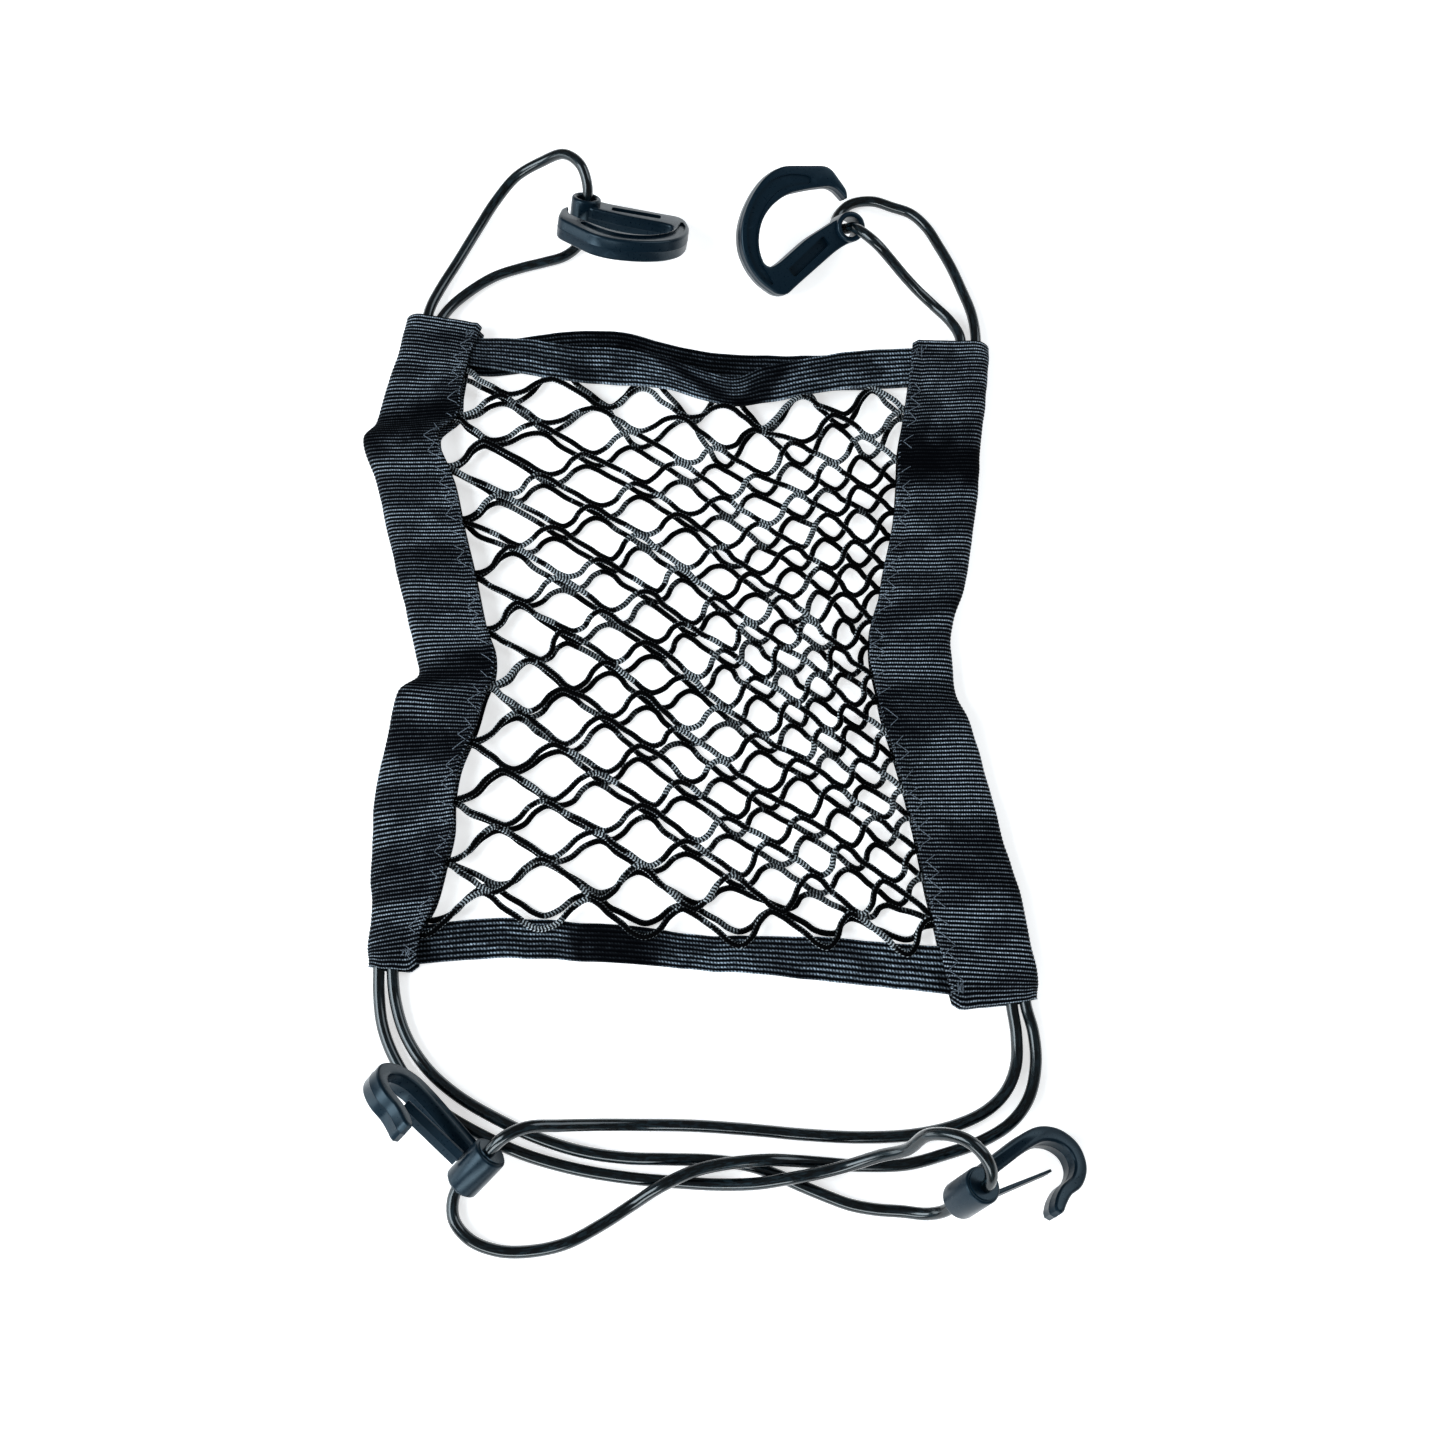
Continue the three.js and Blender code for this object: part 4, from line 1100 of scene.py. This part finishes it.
class Elastic:
    """Flat ribbed elastic, sewn in at both ends and slack between them."""

    def __init__(self, rows, seed, ripple, painted_shade):
        self.painted_shade = painted_shade
        self.table = Rows(ELASTIC_COLUMNS, rows, lambda row: (row["x"], (row["far"] + row["near"]) / 2))
        self.length = self.table.length
        self.seed = seed
        self.ripple = ripple

    def point(self, place, share, up):
        """share runs from 0 at the near edge to 1 at the far edge."""
        x, far, near, under = (self.table.read(place, column) for column in ELASTIC_COLUMNS)
        edge = 0.35 * wobble(place, share, self.seed, 9)
        wave = self.ripple * wobble(place, share * 8, self.seed + 4, 11)
        y = lerp(near, far, share) + edge
        return Vector((x, y, max(under + wave, ELASTIC_LOWEST) + up))


def make_elastic(name, elastic):
    rings = round(elastic.length / ELASTIC_STEP)
    across = RIDGES * RIDGE_STEPS
    upper = [(k / across, ELASTIC, -1) for k in range(across + 1)]
    lower = [(k / across, 0, 1) for k in range(across, -1, -2)]
    vertices, uvs = [], []
    for ring in range(rings + 1):
        place = elastic.length * ring / rings
        for share, face, inward in upper + lower:
            groove = RIDGE_DEPTH * (1 - math.cos(2 * math.pi * share * RIDGES))
            vertices.append(elastic.point(place, share, face + inward * groove))
            uvs.append((place, share * RIDGES * RIDGE_PITCH))
    # Painted light and painted shade per vertex, from the elastic's table of painted shade.
    sheen = [painted_light_at(elastic.painted_shade, elastic.seed, *place) for place in uvs]
    count = len(upper) + len(lower)
    faces = skin_faces(rings + 1, count)
    last = rings * count
    faces.append(tuple(range(count)))
    faces.append(tuple(range(last + count - 1, last - 1, -1)))
    return new_object(name, vertices, outward_faces(vertices, faces), uvs, sheen=sheen)


mouth_front = Elastic(MOUTH_FRONT, 11, 0.35, FRONT_PAINTED_SHADE)
mouth_back = Elastic(MOUTH_BACK, 12, 0.2, BACK_PAINTED_SHADE)
foot = Elastic(FOOT, 13, 0.25, FOOT_PAINTED_SHADE)
elastics = []
for name, model, yarn, node in (
    ("mouth_front", mouth_front, ELASTIC_FRONT, "mouth_elastic_front"),
    ("mouth_back", mouth_back, ELASTIC_BACK, "mouth_elastic_back"),
    ("foot", foot, ELASTIC_FRONT, "foot_elastic"),
):
    elastics.append((make_elastic(name, model), model))
    finish(elastics[-1][0], yarn, replaces=[node])

# ---------------------------------------------------------------- nets

CLEAR = 0.3
NET = 1.5
CELLS_ACROSS = 5.5
HALF_ROWS = 20
COLUMN_SKEW = 0.062
JOINT_HALF = 1.9
JOINT_SHORT = 1.7
CORD_APART = 0.82
LEVEL = 0.8
HALF_POCKET = 75
NET_IN_BAND = 0.6
INTO_BAND = 3.2
UNEVEN = (1.5, 1.3)
OVER_FLOOR = 0.05
BRAID_SHIFT = 0.37
STRAND = {"radius": 1.07, "flat": 0.8, "sides": 10, "step": 0.8}
FRONT_LAYER = {
    "mouth": mouth_front, "foot_overlap": 3, "in_band": BAND_TAPE + 2.6, "middle": 9,
    "foot_under": ELASTIC + 0.6, "slip": 0, "shift": 0, "wave": 0.4, "seed": 21, "loose": 0.55,
}
BACK_LAYER = {
    "mouth": mouth_back, "foot_overlap": -JOINT_SHORT - CLEAR, "in_band": BAND_TAPE + 0.6, "middle": 0.6,
    "foot_under": None, "slip": 9, "shift": 1.4, "wave": 1.3, "seed": 31, "loose": 0.3,
}


def joint_place(layer, across, up):
    """The middle of the joint on a column and half row, at half the strands' height."""
    share, v = across / CELLS_ACROSS, up / HALF_ROWS
    u = share + COLUMN_SKEW * math.sin(math.pi * share)
    slipped = layer["slip"] * u ** 2 * ease(0, 0.1, v) * ease(0, 0.14, 1 - v)
    x, y = lerp(-HALF_POCKET, HALF_POCKET, u), 0
    for _ in range(4):
        foot_y = foot.table.look_up("x", "far", x)
        mouth_y = mouth_front.table.look_up("x", "near", x)
        own_foot = foot_y - layer["foot_overlap"]
        own_mouth = layer["mouth"].table.look_up("x", "near", x) - JOINT_SHORT - CLEAR
        y = lerp(foot_y, mouth_y, v) - slipped
        y += (own_foot - foot_y) * (1 - ease(0, 0.12, v)) + (own_mouth - mouth_y) * (1 - ease(0, 0.1, 1 - v))
        x = lerp(
            left_band.table.look_up("inner_y", "inner_x", y) - NET_IN_BAND,
            right_band.table.look_up("inner_y", "inner_x", y) + NET_IN_BAND,
            u,
        )
    inside = math.sin(math.pi * u) * math.sin(math.pi * v)
    x += inside * (layer["shift"] + UNEVEN[0] * math.sin(up * 0.9 + across * 1.7 + layer["wave"]))
    y += inside * UNEVEN[1] * math.sin(across * 2.3 + up * 0.5 + layer["wave"])
    edge = left_band if u < 0.5 else right_band
    lift = sum(edge.table.look_up("inner_y", "lift", y + reach) for reach in (-JOINT_SHORT, JOINT_SHORT)) / 2
    sides = lift * INNER_LIFT + layer["in_band"]
    at_foot = layer["middle"]
    if layer["foot_under"]:
        at_foot = foot.table.look_up("x", "under", x) + layer["foot_under"]
    own_foot = lerp(at_foot, layer["middle"], ease(0.02, 0.16, v))
    return Vector((x, y, lerp(sides, own_foot, ease(0, 0.2, min(u, 1 - u))) + NET / 2))


def joints_of(layer):
    """Each joint's middle, and the way that its two cords run through it side by side."""
    places = {}
    for row in range(HALF_ROWS + 1):
        for half in range(row % 2, int(2 * CELLS_ACROSS) + 1, 2):
            place = joint_place(layer, half / 2, row)
            inner = 0 < half < 2 * CELLS_ACROSS and 0 < row < HALF_ROWS
            if inner:
                place.x += UNEVEN[0] * wobble(half * 3.3, row * 2.9, layer["seed"] + 3, 2.1)
                place.y += UNEVEN[1] * wobble(half * 2.7, row * 3.9, layer["seed"] + 4, 2.1)
            places[row, half] = place
    ways = {}
    for (row, half), place in places.items():
        above = places.get((row + 1, half - 1), place)
        below = places.get((row - 1, half + 1), place)
        way = below - above
        way = way.normalized() if way.length > 1 else Vector((1, -0.6, 0)).normalized()
        ways[row, half] = (way + Vector((LEVEL, 0, 0))).normalized()
    return places, ways


def cord_route(layer, places, ways, row):
    """One net cord from the left band to the right: trough, crest, trough and so on."""
    seed = layer["seed"]
    route = []
    last = int(2 * CELLS_ACROSS)
    for half in range(last + 1):
        at_crest = (row + half) % 2 == 1
        key = (row + 1, half) if at_crest else (row, half)
        middle, way = places[key], ways[key]
        upward = Vector((-way.y, way.x, 0)).normalized()
        share = -CORD_APART if at_crest else CORD_APART
        if key[0] in (0, HALF_ROWS):
            share = 0.0
        long = JOINT_HALF * (1 + 0.3 * wobble(half * 3.1, row * 2.7, seed, 1.7))
        start = middle - way * long + upward * share
        end = middle + way * long + upward * share
        if route:
            sag = layer["loose"] * wobble(half * 5.3, row * 4.9, seed + 1, 2.3)
            before = route[-1]
            gap = start - before
            normal = Vector((-gap.y, gap.x, 0)).normalized()
            bow = 1.6 * wobble(half * 2.9, row * 3.7, seed + 2, 1.9)
            bent = 0.7 if at_crest else 0.15
            route.append(before.lerp(start, 0.32) + normal * (bow - bent) + Vector((0, 0, sag)))
            route.append(before.lerp(start, 0.68) + normal * (bow * 0.6 + bent) + Vector((0, 0, sag)))
        if half == 0:
            route.append(middle + Vector((-INTO_BAND, 0.5 * share, 0)))
        else:
            route.append(start)
        if half == last:
            route.append(middle + Vector((INTO_BAND, 0.5 * share, 0)))
        else:
            route.append(end)
    return route


def make_net(name, layer):
    """The net as one piece, and the length of all its cords."""
    places, ways = joints_of(layer)
    bundle = Bundle()
    total = 0.0
    lowest = STRAND["radius"] * STRAND["flat"] + OVER_FLOOR
    for row in range(HALF_ROWS):
        line = spline(cord_route(layer, places, ways, row), STRAND["step"])
        for point in line:
            point.z = max(point.z, lowest)
        shift = row * BRAID_SHIFT
        bundle.add(tube(line, STRAND["radius"], STRAND["sides"], STRAND["flat"], shift))
        total += curve_length(line)
    return bundle.build(name), total


net_front, front_cord = make_net("net_front_braid", FRONT_LAYER)
net_back, back_cord = make_net("net_back_braid", BACK_LAYER)
finish(net_front, NET_FRONT, replaces=[f"net_front_{k}" for k in (1, 2, 3, 4)])
finish(net_back, NET_BACK, replaces=[f"net_back_{k}" for k in (1, 2, 3, 4)])

# ---------------------------------------------------------------- stitches

SEAM = {"inner": 1.5, "outer": 5.3, "pitch": 6.2, "radius": 0.14, "from_end": 4}
EDGE = {"from_end": 3, "pitch": 1.7, "inner": 0.25, "outer": 1.1, "radius": 0.15, "height": 0.2}
END = {"from_end": 4.5, "stitches": 9, "across": 3.4, "radius": 0.11}
THREAD_SIDES = 5
THREAD_HEIGHT = 0.24
IN_HOLE = -0.25


def thread(bundle, band, start, end, radius, height=THREAD_HEIGHT):
    """One stitch on a band, from one hole to the next. Each end is a place and how far across."""
    line = []
    for s in range(7):
        t = s / 6
        rise = height * math.sin(math.pi * t) ** 0.5 - 0.06 if 0 < t < 1 else IN_HOLE
        line.append(band.top(lerp(start[0], end[0], t), lerp(start[1], end[1], t), rise))
    bundle.add(tube(line, radius, THREAD_SIDES))


def sew_zigzag(bundle, band):
    """A zigzag seam with uneven holes. The stitches that sank into the ribs are left out."""
    seed = band.seed
    holes = []
    for k in range(int((band.length - 2 * SEAM["from_end"]) / SEAM["pitch"] * 2) + 1):
        place = SEAM["from_end"] + SEAM["pitch"] / 2 * k + 0.9 * wobble(k * 2.3, seed, 2, 1.1)
        across = (SEAM["outer"] if k % 2 else SEAM["inner"]) + 0.8 * wobble(k * 1.7, seed, 1, 1.3)
        holes.append((place, across))
    for k, (start, end) in enumerate(zip(holes, holes[1:])):
        buried = -0.08 if k % 2 else -0.3
        if wobble(k * 3.1, seed, 5, 1.9) > buried:
            thread(bundle, band, start, end, SEAM["radius"])


def sew_edge(bundle, band):
    """Short stitches over the tape's inner edge."""
    seed = band.seed
    for k in range(int((band.length - 2 * EDGE["from_end"]) / EDGE["pitch"])):
        place = EDGE["from_end"] + EDGE["pitch"] * k + 0.5 * wobble(k * 2.9, seed, 3, 1.7)
        if wobble(k * 1.3, seed, 7, 2.3) > -0.1:
            end = (place + 0.5, EDGE["outer"] + 0.4 * wobble(k, 2, seed, 1.3))
            thread(bundle, band, (place, EDGE["inner"]), end, EDGE["radius"], EDGE["height"])


def sew_ends(bundle, band):
    """Loose short stitches near each end of a band."""
    seed = band.seed
    for corner in (END["from_end"], band.length - END["from_end"]):
        for k in range(END["stitches"]):
            place = corner + 2.6 * wobble(k * 1.9, corner, seed, 1.4)
            across = END["across"] + 2.8 * wobble(k * 2.7, corner, seed + 1, 1.4)
            slant = 3.2 * wobble(k * 3.7, corner, seed + 2, 1.2)
            start, end = (place - 1.1, across - slant / 2), (place + 1.1, across + slant / 2)
            thread(bundle, band, start, end, END["radius"])


for side, band in (("left", left_band), ("right", right_band)):
    bundle = Bundle()
    sew_zigzag(bundle, band)
    sew_edge(bundle, band)
    sew_ends(bundle, band)
    finish(bundle.build("seam_" + side), THREAD)
